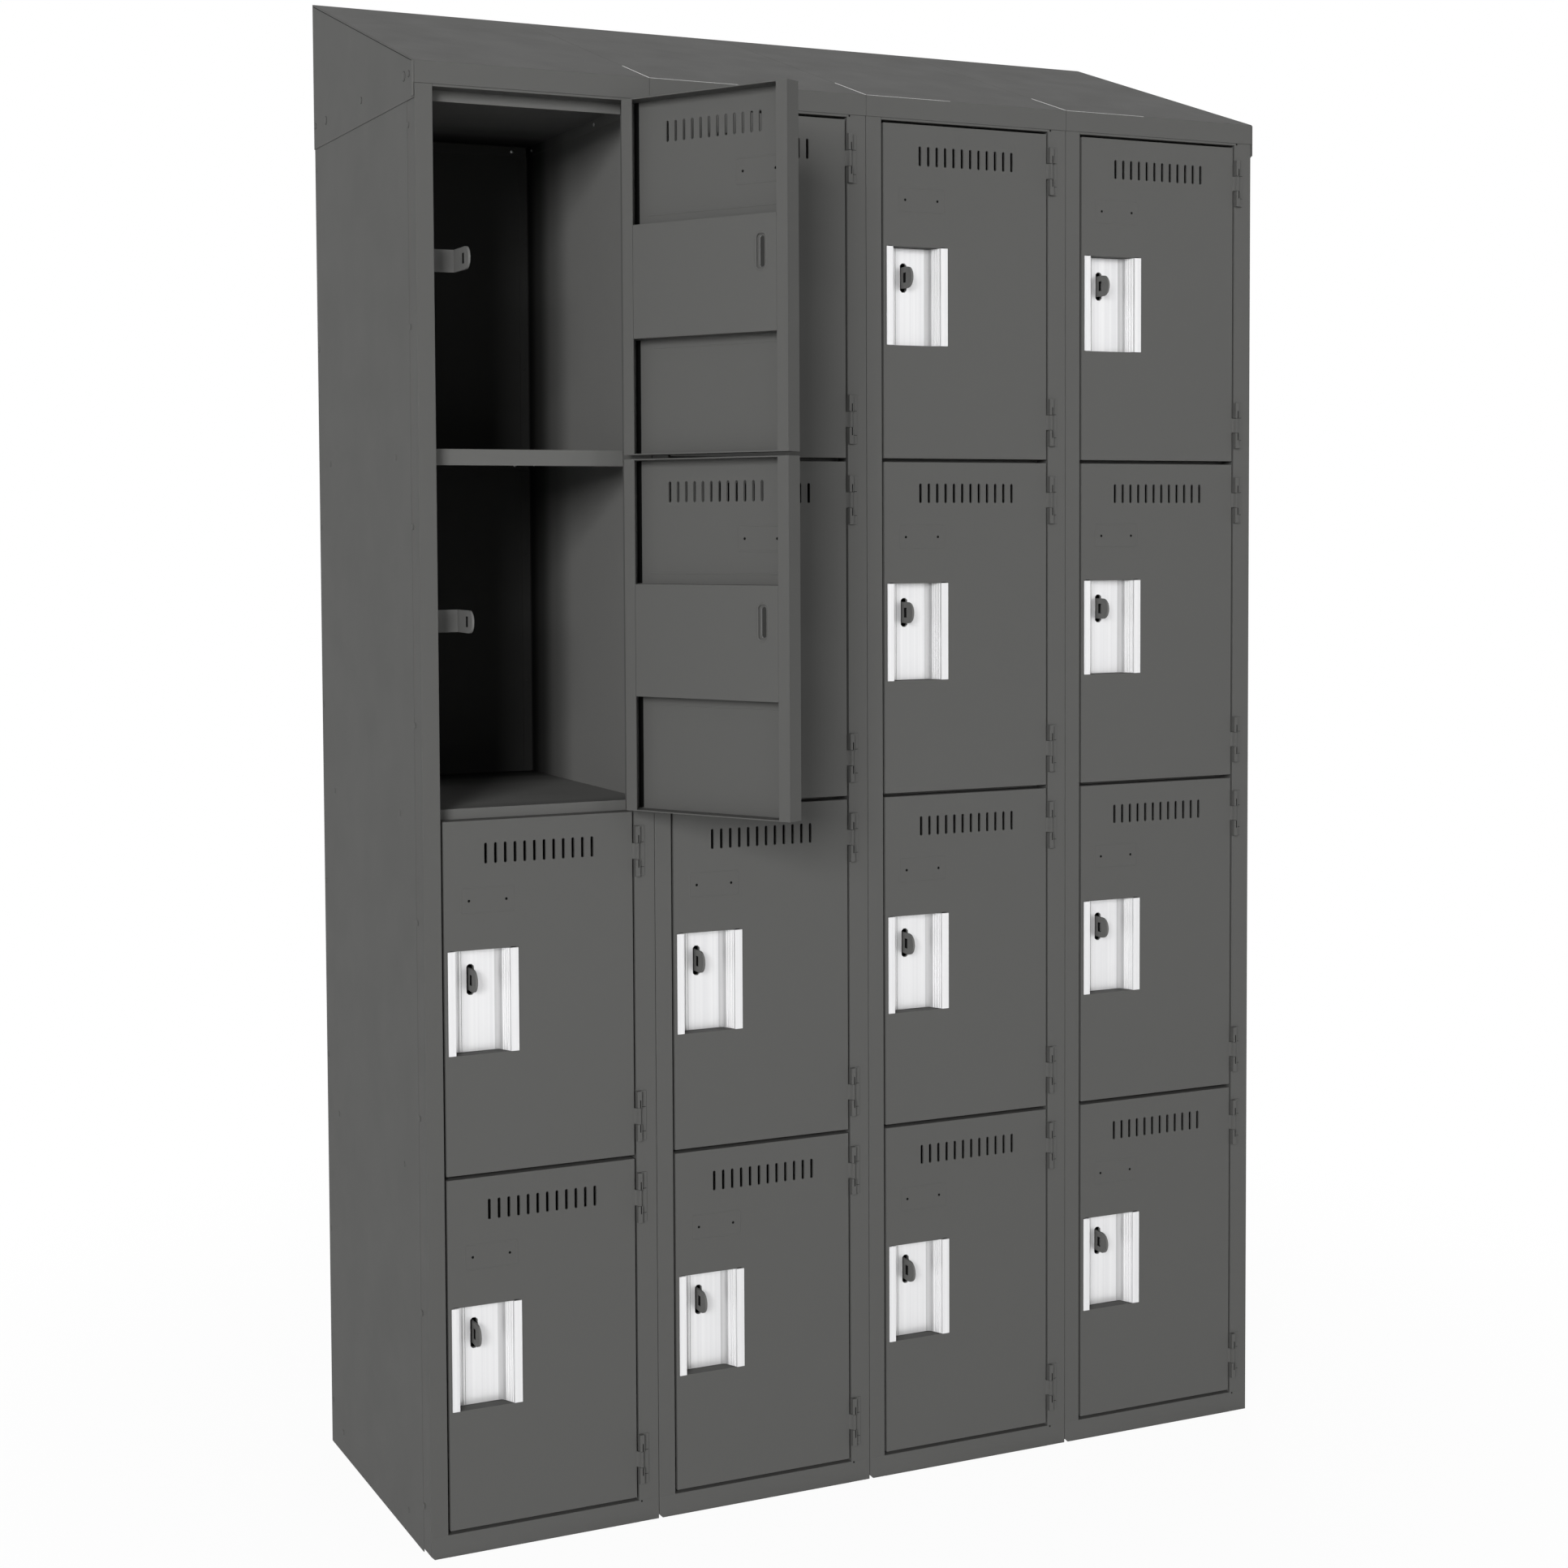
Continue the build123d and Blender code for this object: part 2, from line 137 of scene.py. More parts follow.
class EffectLibrary:
    """Builds each shared shader node group once and hands it out by name."""

    def __init__(self) -> None:
        """Make the groups."""
        self.groups: dict[Effect, bpy.types.NodeTree] = {
            Effect.TONE_DRIFT: self._tone_drift(),
            Effect.POWDER_PEEL: self._powder_peel(),
            Effect.DRAW_LINES: self._draw_lines(),
            Effect.SETTLED_DUST: self._settled_dust(),
            Effect.PAINTED_INTERIOR_LIGHT_AND_SHADE: self._painted_interior_light_and_shade(),
        }

    @staticmethod
    def _socket(tree: bpy.types.NodeTree, name: str, side: str) -> bpy.types.NodeTreeInterfaceSocket:
        """Add a socket to a group: one named Colour holds a colour, and any other one a number."""
        kind = "NodeSocketColor" if name == "Colour" else "NodeSocketFloat"
        return tree.interface.new_socket(name, in_out=side, socket_type=kind)

    def _new(
        self, effect: Effect, inputs: dict[str, float | Colour], outputs: Sequence[str]
    ) -> tuple[bpy.types.NodeTree, bpy.types.Node, bpy.types.Node]:
        """Start a group with named sockets.

        Args:
            effect: The group's name.
            inputs: Name and default of each input.
            outputs: Name of each output.

        Returns:
            The group, its input node and its output node.
        """
        tree = bpy.data.node_groups.new(effect.value, "ShaderNodeTree")
        for name, default in inputs.items():
            self._socket(tree, name, "INPUT").default_value = default
        for name in outputs:
            self._socket(tree, name, "OUTPUT")
        return tree, tree.nodes.new("NodeGroupInput"), tree.nodes.new("NodeGroupOutput")

    def _tone_drift(self) -> bpy.types.NodeTree:
        """Slow change of tone over a large sheet, as an uneven coat of powder gives."""
        tree, source, sink = self._new(
            Effect.TONE_DRIFT, {"Colour": MID_GREY, "Drift": 0.05, "Scale": 3.0}, ["Colour"]
        )
        place = add_node(tree, "TexCoord")
        cloud = add_node(tree, "TexNoise", {"Detail": 3.0})
        spread = add_node(tree, "Math", {1: 0.5}, operation="SUBTRACT")
        amount = add_node(tree, "Math", {2: 1.0}, operation="MULTIPLY_ADD")
        shade = add_node(tree, "HueSaturation")
        wire(
            tree,
            (place, "Object", cloud, "Vector"),
            (source, "Scale", cloud, "Scale"),
            (cloud, "Fac", spread, 0),
            (spread, 0, amount, 0),
            (source, "Drift", amount, 1),
            (amount, 0, shade, "Value"),
            (source, "Colour", shade, "Color"),
            (shade, "Color", sink, "Colour"),
        )
        return tree

    def _powder_peel(self) -> bpy.types.NodeTree:
        """Fine pebbling of a baked powder coat, as a height and a roughness."""
        tree, source, sink = self._new(
            Effect.POWDER_PEEL, {"Scale": 900.0, "Smooth": 0.40, "Rough": 0.52}, ["Height", "Roughness"]
        )
        place = add_node(tree, "TexCoord")
        pebble = add_node(tree, "TexNoise", {"Detail": 2.0, "Roughness": 0.45})
        haze = add_node(tree, "TexNoise", {"Scale": 14.0, "Detail": 4.0})
        span = add_node(tree, "MapRange", {"From Min": 0.3, "From Max": 0.7})
        wire(
            tree,
            (place, "Object", pebble, "Vector"),
            (source, "Scale", pebble, "Scale"),
            (place, "Object", haze, "Vector"),
            (haze, "Fac", span, "Value"),
            (source, "Smooth", span, "To Min"),
            (source, "Rough", span, "To Max"),
            (pebble, "Fac", sink, "Height"),
            (span, "Result", sink, "Roughness"),
        )
        return tree

    def _draw_lines(self) -> bpy.types.NodeTree:
        """Upright die lines of a drawn or rolled bar, as a mask from 0 to 1."""
        tree, source, sink = self._new(Effect.DRAW_LINES, {"Scale": 320.0, "Length": 0.004}, ["Mask"])
        place = add_node(tree, "TexCoord")
        split = add_node(tree, "SeparateXYZ")
        along = add_node(tree, "Math", operation="MULTIPLY")
        merge = add_node(tree, "CombineXYZ")
        streak = add_node(tree, "TexNoise", {"Detail": 2.5})
        span = add_node(tree, "MapRange", {"From Min": 0.32, "From Max": 0.68})
        wire(
            tree,
            (place, "Object", split, "Vector"),
            (split, "X", merge, "X"),
            (split, "Y", merge, "Y"),
            (split, "Z", along, 0),
            (source, "Length", along, 1),
            (along, 0, merge, "Z"),
            (merge, "Vector", streak, "Vector"),
            (source, "Scale", streak, "Scale"),
            (streak, "Fac", span, "Value"),
            (span, "Result", sink, "Mask"),
        )
        return tree

    def _settled_dust(self) -> bpy.types.NodeTree:
        """Dust that lies on faces that look up, as a mask from 0 to 1."""
        tree, source, sink = self._new(Effect.SETTLED_DUST, {"Amount": 0.2}, ["Mask"])
        surface = add_node(tree, "NewGeometry")
        split = add_node(tree, "SeparateXYZ")
        upward = add_node(tree, "MapRange", {"From Min": 0.6, "From Max": 1.0})
        place = add_node(tree, "TexCoord")
        drift = add_node(tree, "TexNoise", {"Scale": 22.0, "Detail": 6.0})
        patchy = add_node(tree, "Math", operation="MULTIPLY")
        scaled = add_node(tree, "Math", operation="MULTIPLY")
        wire(
            tree,
            (surface, "Normal", split, "Vector"),
            (split, "Z", upward, "Value"),
            (place, "Object", drift, "Vector"),
            (upward, "Result", patchy, 0),
            (drift, "Fac", patchy, 1),
            (patchy, 0, scaled, 0),
            (source, "Amount", scaled, 1),
            (scaled, 0, sink, "Mask"),
        )
        return tree

    def _painted_interior_light_and_shade(self) -> bpy.types.NodeTree:
        """Painted light and shade inside the lockers: lighter near the front and middle, dark towards the
        back, where shade falls.
        """
        tree, source, sink = self._new(Effect.PAINTED_INTERIOR_LIGHT_AND_SHADE, {"Colour": MID_GREY, "Amount": 0.0}, ["Colour"])
        place = add_node(tree, "TexCoord")
        split = add_node(tree, "SeparateXYZ")
        reach = {"From Min": -CASE_HALF_DEPTH, "From Max": CASE_HALF_DEPTH}
        deep = add_node(tree, "MapRange", reach)
        # Painted brightness by depth: raised at mid depth, nearly black at the back.
        coat = add_node(tree, "ValToRGB")
        coat.color_ramp.interpolation = "EASE"
        while len(coat.color_ramp.elements) < len(PAINTED_LIGHT_AND_SHADE_STOPS):
            coat.color_ramp.elements.new(0.5)
        for stop, (depth, share) in zip(coat.color_ramp.elements, PAINTED_LIGHT_AND_SHADE_STOPS):
            stop.position = depth
            stop.color = (share, share, share, 1.0)
        gain = add_node(tree, "VectorMath", {"Scale": PAINTED_LIGHT_GAIN}, operation="SCALE")
        before_back = add_node(tree, "Math", {1: BACK_LIMIT}, operation="LESS_THAN")
        across = add_node(tree, "Math", operation="ABSOLUTE")
        between_sides = add_node(tree, "Math", {1: SIDE_LIMIT}, operation="LESS_THAN")
        inside = add_node(tree, "Math", operation="MULTIPLY")
        amount = add_node(tree, "Math", operation="MULTIPLY")
        mix = add_node(tree, "Mix", data_type="RGBA", blend_type="MULTIPLY")
        wire(
            tree,
            (place, "Object", split, "Vector"),
            (split, "Y", deep, "Value"),
            (deep, "Result", coat, "Fac"),
            (coat, "Color", gain, 0),
            (split, "Y", before_back, 0),
            (split, "X", across, 0),
            (across, 0, between_sides, 0),
            (before_back, 0, inside, 0),
            (between_sides, 0, inside, 1),
            (inside, 0, amount, 0),
            (source, "Amount", amount, 1),
            (amount, 0, mix, "Factor"),
            (source, "Colour", mix, "A"),
            (gain, "Vector", mix, "B"),
            (mix, "Result", sink, "Colour"),
        )
        return tree

    def put(self, material: bpy.types.Material, effect: Effect, **values: object) -> bpy.types.Node:
        """Place a group in a material.

        Args:
            material: The material to add the group to.
            effect: Which group.
            **values: Input values by socket name.

        Returns:
            The new group node.
        """
        return add_node(material.node_tree, "Group", values, node_tree=self.groups[effect])


def new_material(name: str) -> tuple[bpy.types.Material, bpy.types.Node]:
    """Make a material that holds only a Principled shader.

    Args:
        name: The material's name.

    Returns:
        The material and its Principled node.
    """
    material = bpy.data.materials.new(name)
    material.use_nodes = True
    return material, material.node_tree.nodes["Principled BSDF"]


@dataclass(frozen=True)
class PowderCoat:
    """Charcoal powder coat on folded steel."""

    name: str = "charcoal_powder_coat"
    colour: Colour = (0.0825, 0.0825, 0.0800, 1.0)
    dust_colour: Colour = (0.30, 0.29, 0.27, 1.0)
    # Share of painted interior light and shade: 0 leaves it out, 1 paints it in full.
    painted_interior_light_and_shade: float = 0.0
    drift: float = 0.014
    drift_scale: float = 2.4
    dust: float = 0.02
    peel_scale: float = 850.0
    peel_depth: float = 0.00004
    peel_strength: float = 0.35
    smooth: float = 0.54
    rough: float = 0.60
    specular: float = 0.05

    def build(self, effects: EffectLibrary) -> bpy.types.Material:
        """Make the material.

        Args:
            effects: The shared node groups.

        Returns:
            The finished material.
        """
        material, shader = new_material(self.name)
        tree = material.node_tree
        tone = effects.put(
            material, Effect.TONE_DRIFT, Colour=self.colour, Drift=self.drift, Scale=self.drift_scale
        )
        peel = effects.put(
            material, Effect.POWDER_PEEL, Scale=self.peel_scale, Smooth=self.smooth, Rough=self.rough
        )
        dust = effects.put(material, Effect.SETTLED_DUST, Amount=self.dust)
        mix = add_node(tree, "Mix", {"B": self.dust_colour}, data_type="RGBA")
        relief = {"Strength": self.peel_strength, "Distance": self.peel_depth}
        bump = add_node(tree, "Bump", relief)
        # Painted interior light and shade, by depth inside the lockers.
        inside = effects.put(material, Effect.PAINTED_INTERIOR_LIGHT_AND_SHADE, Amount=self.painted_interior_light_and_shade)
        wire(
            tree,
            (tone, "Colour", mix, "A"),
            (dust, "Mask", mix, "Factor"),
            (mix, "Result", inside, "Colour"),
            (inside, "Colour", shader, "Base Color"),
            (peel, "Roughness", shader, "Roughness"),
            (peel, "Height", bump, "Height"),
            (bump, "Normal", shader, "Normal"),
        )
        shader.inputs["Specular IOR Level"].default_value = self.specular
        return material


@dataclass(frozen=True)
class DrawnMetal:
    """Bare metal with die lines along its length."""

    name: str
    light: Colour
    dark: Colour
    smooth: float
    rough: float
    metallic: float = 1.0
    line_scale: float = 260.0
    line_strength: float = 0.25
    line_depth: float = 0.00005
    drift: float = 0.05
    drift_scale: float = 9.0

    def build(self, effects: EffectLibrary) -> bpy.types.Material:
        """Make the material.

        Args:
            effects: The shared node groups.

        Returns:
            The finished material.
        """
        material, shader = new_material(self.name)
        tree = material.node_tree
        lines = effects.put(material, Effect.DRAW_LINES, Scale=self.line_scale)
        tone = effects.put(material, Effect.TONE_DRIFT, Drift=self.drift, Scale=self.drift_scale)
        mix = add_node(tree, "Mix", {"A": self.dark, "B": self.light}, data_type="RGBA")
        gloss = add_node(tree, "MapRange", {"To Min": self.rough, "To Max": self.smooth})
        relief = {"Strength": self.line_strength, "Distance": self.line_depth}
        bump = add_node(tree, "Bump", relief)
        wire(
            tree,
            (lines, "Mask", mix, "Factor"),
            (mix, "Result", tone, "Colour"),
            (tone, "Colour", shader, "Base Color"),
            (lines, "Mask", gloss, "Value"),
            (gloss, "Result", shader, "Roughness"),
            (lines, "Mask", bump, "Height"),
            (bump, "Normal", shader, "Normal"),
        )
        shader.inputs["Metallic"].default_value = self.metallic
        return material


@dataclass(frozen=True)
class DarkGap:
    """The shade inside a hole or a slit that is too fine to see into."""

    name: str = "dark_gap"
    colour: Colour = (0.004, 0.004, 0.004, 1.0)
    drift: float = 0.4
    drift_scale: float = 240.0
    rough: float = 0.9
    specular: float = 0.05

    def build(self, effects: EffectLibrary) -> bpy.types.Material:
        """Make the material.

        Args:
            effects: The shared node groups.

        Returns:
            The finished material.
        """
        material, shader = new_material(self.name)
        tone = effects.put(
            material, Effect.TONE_DRIFT, Colour=self.colour, Drift=self.drift, Scale=self.drift_scale
        )
        wire(material.node_tree, (tone, "Colour", shader, "Base Color"))
        shader.inputs["Roughness"].default_value = self.rough
        shader.inputs["Specular IOR Level"].default_value = self.specular
        return material


@dataclass
class Finishes:
    """The cabinet's materials."""

    effects: EffectLibrary = field(default_factory=EffectLibrary)

    def __post_init__(self) -> None:
        """Build every finish."""
        self.paint = PowderCoat().build(self.effects)
        # Inside paint: the same coat with painted light and shade, lighter at mid depth and dark at the
        # back.
        self.inner_paint_with_painted_light_and_shade = PowderCoat("charcoal_powder_coat_painted_interior_light_and_shade", painted_interior_light_and_shade=1.0).build(self.effects)
        # Keeper paint: the same charcoal painted lighter, as painted light on tongues that sit in shade.
        self.keeper_paint_painted_light = PowderCoat("keeper_powder_coat_painted_light", (0.118, 0.118, 0.115, 1.0)).build(self.effects)
        self.aluminium = DrawnMetal(
            "extruded_aluminium",
            light=(0.75, 0.75, 0.755, 1.0),
            dark=(0.69, 0.69, 0.70, 1.0),
            smooth=0.30,
            rough=0.42,
            metallic=0.55,
        ).build(self.effects)
        # Darker copy of the aluminium: painted shade in the pull's inside bend and its slanted grooves.
        self.bend = DrawnMetal(
            "aluminium_painted_bend_shade",
            light=(0.53, 0.53, 0.535, 1.0),
            dark=(0.47, 0.47, 0.475, 1.0),
            smooth=0.36,
            rough=0.48,
            metallic=0.55,
        ).build(self.effects)
        # Lighter copy of the aluminium: painted highlight on the pull's ribs.
        self.rib = DrawnMetal(
            "aluminium_painted_rib_highlight",
            light=(0.93, 0.93, 0.935, 1.0),
            dark=(0.87, 0.87, 0.88, 1.0),
            smooth=0.34,
            rough=0.46,
            metallic=0.35,
        ).build(self.effects)
        # Bright steel: painted highlights at the slope joints, and the tray rivets' bare heads, also
        # carrying a painted highlight.
        self.bright_steel_painted_highlight = DrawnMetal(
            "bright_steel_with_painted_highlights",
            light=(0.92, 0.92, 0.91, 1.0),
            dark=(0.62, 0.62, 0.61, 1.0),
            smooth=0.28,
            rough=0.45,
            line_scale=700.0,
        ).build(self.effects)
        self.gap = DarkGap().build(self.effects)


@dataclass(frozen=True)
class Layout:
    """Places of columns, tiers and hinges, in millimetres."""

    columns: int = 4
    tiers: int = 4
    pitch: float = 304.8
    depth: float = 457.2
    tier_pitch: float = 443.5
    door_height: float = 438.5
    lowest_door: float = 32.5
    pin_inset: float = 25.3
    pin_stand_off: float = 3.6
    open_angle: float = 120.0
    open_doors: tuple[str, ...] = ("a1", "a2")

    @property
    def half_width(self) -> float:
        """X of the right side's outer face."""
        return self.columns * self.pitch / 2

    @property
    def front(self) -> float:
        """Y of the frame's front face."""
        return -self.depth / 2

    @property
    def back(self) -> float:
        """Y of the back sheet's outer face."""
        return self.depth / 2

    def left_of(self, column: int) -> float:
        """X of a column's left boundary."""
        return (column - self.columns / 2) * self.pitch

    def door_foot(self, tier: int) -> float:
        """Z of a door's lower edge; tier 1 is the top one."""
        return self.lowest_door + (self.tiers - tier) * self.tier_pitch

    def lockers(self) -> Iterator[tuple[str, int, int]]:
        """Name, column and tier of each locker."""
        for column in range(self.columns):
            for tier in range(1, self.tiers + 1):
                yield f"{'abcd'[column]}{tier}", column, tier

    def hinge(self, column: int, tier: int) -> Matrix:
        """Hinge frame of a shut door: pin axis, at the door's foot."""
        x = self.left_of(column + 1) - self.pin_inset
        return Matrix.Translation((x, self.front - self.pin_stand_off, self.door_foot(tier)))

    def door(self, name: str, column: int, tier: int) -> Matrix:
        """Hinge frame turned to where the door stands at rest."""
        angle = self.open_angle if name in self.open_doors else 0.0
        return self.hinge(column, tier) @ Matrix.Rotation(math.radians(angle), 4, "Z")


@dataclass
class Face:
    """A flat working face: a place, the directions across and up it, and the way out of it."""

    place: Matrix
    origin: Vector
    across: Vector
    up: Vector

    @classmethod
    def at_x(cls, place: Matrix, x: float, across: Vector) -> "Face":
        """Upright face at that X of a frame."""
        return cls(place, Vector((x, 0, 0)), across, UP)

    @classmethod
    def at_y(cls, place: Matrix, y: float, across: Vector) -> "Face":
        """Upright face at that Y of a frame."""
        return cls(place, Vector((0, y, 0)), across, UP)

    def at(self, u: float, v: float, lift: float = 0.0) -> Vector:
        """Point on the face, in metres.

        Args:
            u: Distance across, in millimetres.
            v: Distance up, in millimetres.
            lift: Height above the face, in millimetres.

        Returns:
            The point in the row frame.
        """
        out = self.across.cross(self.up)
        return (self.place @ (self.origin + self.across * u + self.up * v + out * lift)) * MM


def corner_arc(middle: Point, radius: float, start: float, steps: int) -> list[Point]:
    """Quarter turn of an outline, counter-clockwise.

    Args:
        middle: Middle of the arc.
        radius: Radius of the arc.
        start: Angle that it starts at, in degrees.
        steps: Segments of the arc.

    Returns:
        The arc's points.
    """
    points = []
    for step in range(steps + 1):
        angle = math.radians(start + 90 * step / steps)
        points.append((middle[0] + radius * math.cos(angle), middle[1] + radius * math.sin(angle)))
    return points


def rounded_outline(width: float, height: float, radius: float, steps: int = 5) -> list[Point]:
    """Outline of a rounded rectangle about the origin, counter-clockwise.

    Args:
        width: Size across.
        height: Size up.
        radius: Corner radius.
        steps: Segments to a corner.

    Returns:
        The outline's points.
    """
    points = []
    for side, end, start in ((1, 1, 0), (-1, 1, 90), (-1, -1, 180), (1, -1, 270)):
        middle = (side * (width / 2 - radius), end * (height / 2 - radius))
        points += corner_arc(middle, radius, start, steps)
    return points


def disc_outline(radius: float, steps: int) -> list[Point]:
    """Outline of a disc about the origin, counter-clockwise, with that many segments to a quarter."""
    return rounded_outline(2 * radius, 2 * radius, radius - CORNER_PLAY, steps)


def half_moon(width: float, height: float, steps: int = 10) -> list[Point]:
    """Outline of a half-moon about the origin, flat on its right, counter-clockwise.

    Args:
        width: Size across.
        height: Size up.
        steps: Segments of the curve.

    Returns:
        The outline's points.
    """
    points = []
    for step in range(steps + 1):
        angle = math.pi * (0.5 + step / steps)
        points.append((width / 2 + width * math.cos(angle), height / 2 * math.sin(angle)))
    return points


def tongue_outline(root: float, tip: float, height: float, corner: float, steps: int) -> list[Point]:
    """Outline of a tongue, square at its root and round at its tip, counter-clockwise.

    Args:
        root: Place of the square end, on the left.
        tip: Place of the round end, on the right.
        height: Size up.
        corner: Corner radius of the square end.
        steps: Segments to a corner.

    Returns:
        The outline's points, as many as rounded_outline gives.
    """
    end = height / 2 - CORNER_PLAY
    corners = (
        (tip - end, 1, end, 0),
        (root + corner, 1, corner, 90),
        (root + corner, -1, corner, 180),
        (tip - end, -1, end, 270),
    )
    points = []
    for across, side, radius, start in corners:
        points += corner_arc((across, side * (height / 2 - radius)), radius, start, steps)
    return points


def rectangle(left: float, right: float, low: float, high: float) -> list[Point]:
    """Four corners of a rectangle, counter-clockwise from the lower left one."""
    return [(left, low), (right, low), (right, high), (left, high)]


def strip(middle: float, width: float, low: float, high: float) -> list[Point]:
    """Four corners of a narrow upright strip, counter-clockwise."""
    return rectangle(middle - width / 2, middle + width / 2, low, high)


def moved(outline: Sequence[Point], u: float, v: float) -> list[Point]:
    """The same outline, u further across and v further up."""
    return [(u + x, v + y) for x, y in outline]


class Work:
    """A mesh under construction on one or more faces."""

    BEAD_STEPS = 6
    DOME_SEGMENTS = 18
    DOME_PROFILE = ((1.0, 0.0), (1.0, 0.28), (0.86, 0.62), (0.6, 0.88), (0.3, 0.98))
    PLATE_TOP = 0.96
    SHARP_ANGLE = 50.0

    def __init__(self, name: str) -> None:
        """Start an empty piece with that name."""
        self.name = name
        self.mesh = bmesh.new()

    def _loop(self, face: Face, outline: Sequence[Point], lift: float) -> list[bmesh.types.BMVert]:
        """Vertices along an outline, at a height above a face."""
        return [self.mesh.verts.new(face.at(u, v, lift)) for u, v in outline]

    def _stitch(self, first: Sequence[bmesh.types.BMVert], second: Sequence[bmesh.types.BMVert]) -> None:
        """Join two closed loops by a band of faces.

        Args:
            first: Vertices of one loop.
            second: Vertices of the other, as many and in the same order.
        """
        count = len(first)
        for index in range(count):
            after = (index + 1) % count
            self.mesh.faces.new((first[index], first[after], second[after], second[index]))

    def bead(self, face: Face, path: Sequence[Point], section: Point, closed: bool) -> None:
        """Press a half-round bead along a path.

        Args:
            face: The face that it stands on.
            path: Points on the face, in millimetres.
            section: Width and height of the bead.
            closed: Whether the path returns to its start.
        """
        width, height = section
        count = len(path)
        rows = []
        for index, (u, v) in enumerate(path):
            before = path[index - 1] if index or closed else path[index]
            after = path[(index + 1) % count] if index < count - 1 or closed else path[index]
            du, dv = after[0] - before[0], after[1] - before[1]
            length = math.hypot(du, dv) or 1.0
            nu, nv = -dv / length, du / length
            row = []
            for step in range(self.BEAD_STEPS + 1):
                angle = math.pi * step / self.BEAD_STEPS
                offset = math.cos(angle) * width / 2
                lift = math.sin(angle) * height
                row.append(self.mesh.verts.new(face.at(u + nu * offset, v + nv * offset, lift)))
            rows.append(row)
        pairs = list(zip(rows, rows[1:]))
        if closed:
            pairs.append((rows[-1], rows[0]))
        for first, second in pairs:
            for step in range(self.BEAD_STEPS):
                self.mesh.faces.new((first[step], second[step], second[step + 1], first[step + 1]))
        if not closed:
            self.mesh.faces.new(rows[0])
            self.mesh.faces.new(list(reversed(rows[-1])))

    def dome(self, face: Face, u: float, v: float, radius: float, height: float) -> None:
        """Set a low rivet head with a flat rim.

        Args:
            face: The face that it stands on.
            u: Place across.
            v: Place up.
            radius: Radius of the head.
            height: Height of the head.
        """
        rings = []
        for share, rise in self.DOME_PROFILE:
            reach = radius * share
            circle = []
            for step in range(self.DOME_SEGMENTS):
                angle = math.tau * step / self.DOME_SEGMENTS
                circle.append((u + math.cos(angle) * reach, v + math.sin(angle) * reach))
            rings.append(self._loop(face, circle, rise * height))
        for low, high in zip(rings, rings[1:]):
            self._stitch(low, high)
        tip = self.mesh.verts.new(face.at(u, v, height))
        last = rings[-1]
        for step in range(self.DOME_SEGMENTS):
            self.mesh.faces.new((last[step], last[(step + 1) % self.DOME_SEGMENTS], tip))

    def patch(self, face: Face, outline: Sequence[Point], lift: float) -> None:
        """Lay a thin plate with a chamfered rim on a face.

        Args:
            face: The face that it lies on.
            outline: Points of its outline, counter-clockwise.
            lift: Thickness of the plate.
        """
        middle_u = sum(u for u, _ in outline) / len(outline)
        middle_v = sum(v for _, v in outline) / len(outline)
        inner = [
            (middle_u + (u - middle_u) * self.PLATE_TOP, middle_v + (v - middle_v) * self.PLATE_TOP)
            for u, v in outline
        ]
        base = self._loop(face, outline, 0.0)
        top = self._loop(face, inner, lift)
        self._stitch(base, top)
        self.mesh.faces.new(top)

    def ring(self, face: Face, inner: Sequence[Point], outer: Sequence[Point], thickness: float) -> None:
        """Lay a flat ring on a face.

        Args:
            face: The face that it lies on.
            inner: Points of the hole's outline.
            outer: Points of the outer outline, as many and in the same order.
            thickness: Thickness of the ring.
        """
        levels = ((outer, 0.0), (outer, thickness), (inner, thickness), (inner, 0.0))
        loops = [self._loop(face, outline, lift) for outline, lift in levels]
        for first, second in zip(loops, loops[1:] + loops[:1]):
            self._stitch(first, second)

    def prism(self, place: Matrix, outline: Sequence[Point], low: float, high: float) -> None:
        """Raise an upright bar with a given plan.

        Args:
            place: The frame that the plan lies in.
            outline: Points of the plan, as X and Y, in millimetres.
            low: Height of its lower end.
            high: Height of its upper end.
        """
        loops = [
            [self.mesh.verts.new((place @ Vector((x, y, level))) * MM) for x, y in outline]
            for level in (low, high)
        ]
        self._stitch(*loops)
        for loop in loops:
            self.mesh.faces.new(loop)

    def finish(self, body: str, material: bpy.types.Material) -> None:
        """Turn the work into a piece that rides on a body.

        Args:
            body: The CAD body that it moves with.
            material: Its finish.
        """
        data = bpy.data.meshes.new(self.name)
        bmesh.ops.recalc_face_normals(self.mesh, faces=self.mesh.faces[:])
        self.mesh.to_mesh(data)
        self.mesh.free()
        data.polygons.foreach_set("use_smooth", [True] * len(data.polygons))
        data.set_sharp_from_angle(angle=math.radians(self.SHARP_ANGLE))
        data.materials.append(material)
        piece = bpy.data.objects.new(self.name, data)
        bpy.context.scene.collection.objects.link(piece)
        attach(piece, body)
        log.info("%s rides on %s, %d faces", piece.name, body, len(data.polygons))


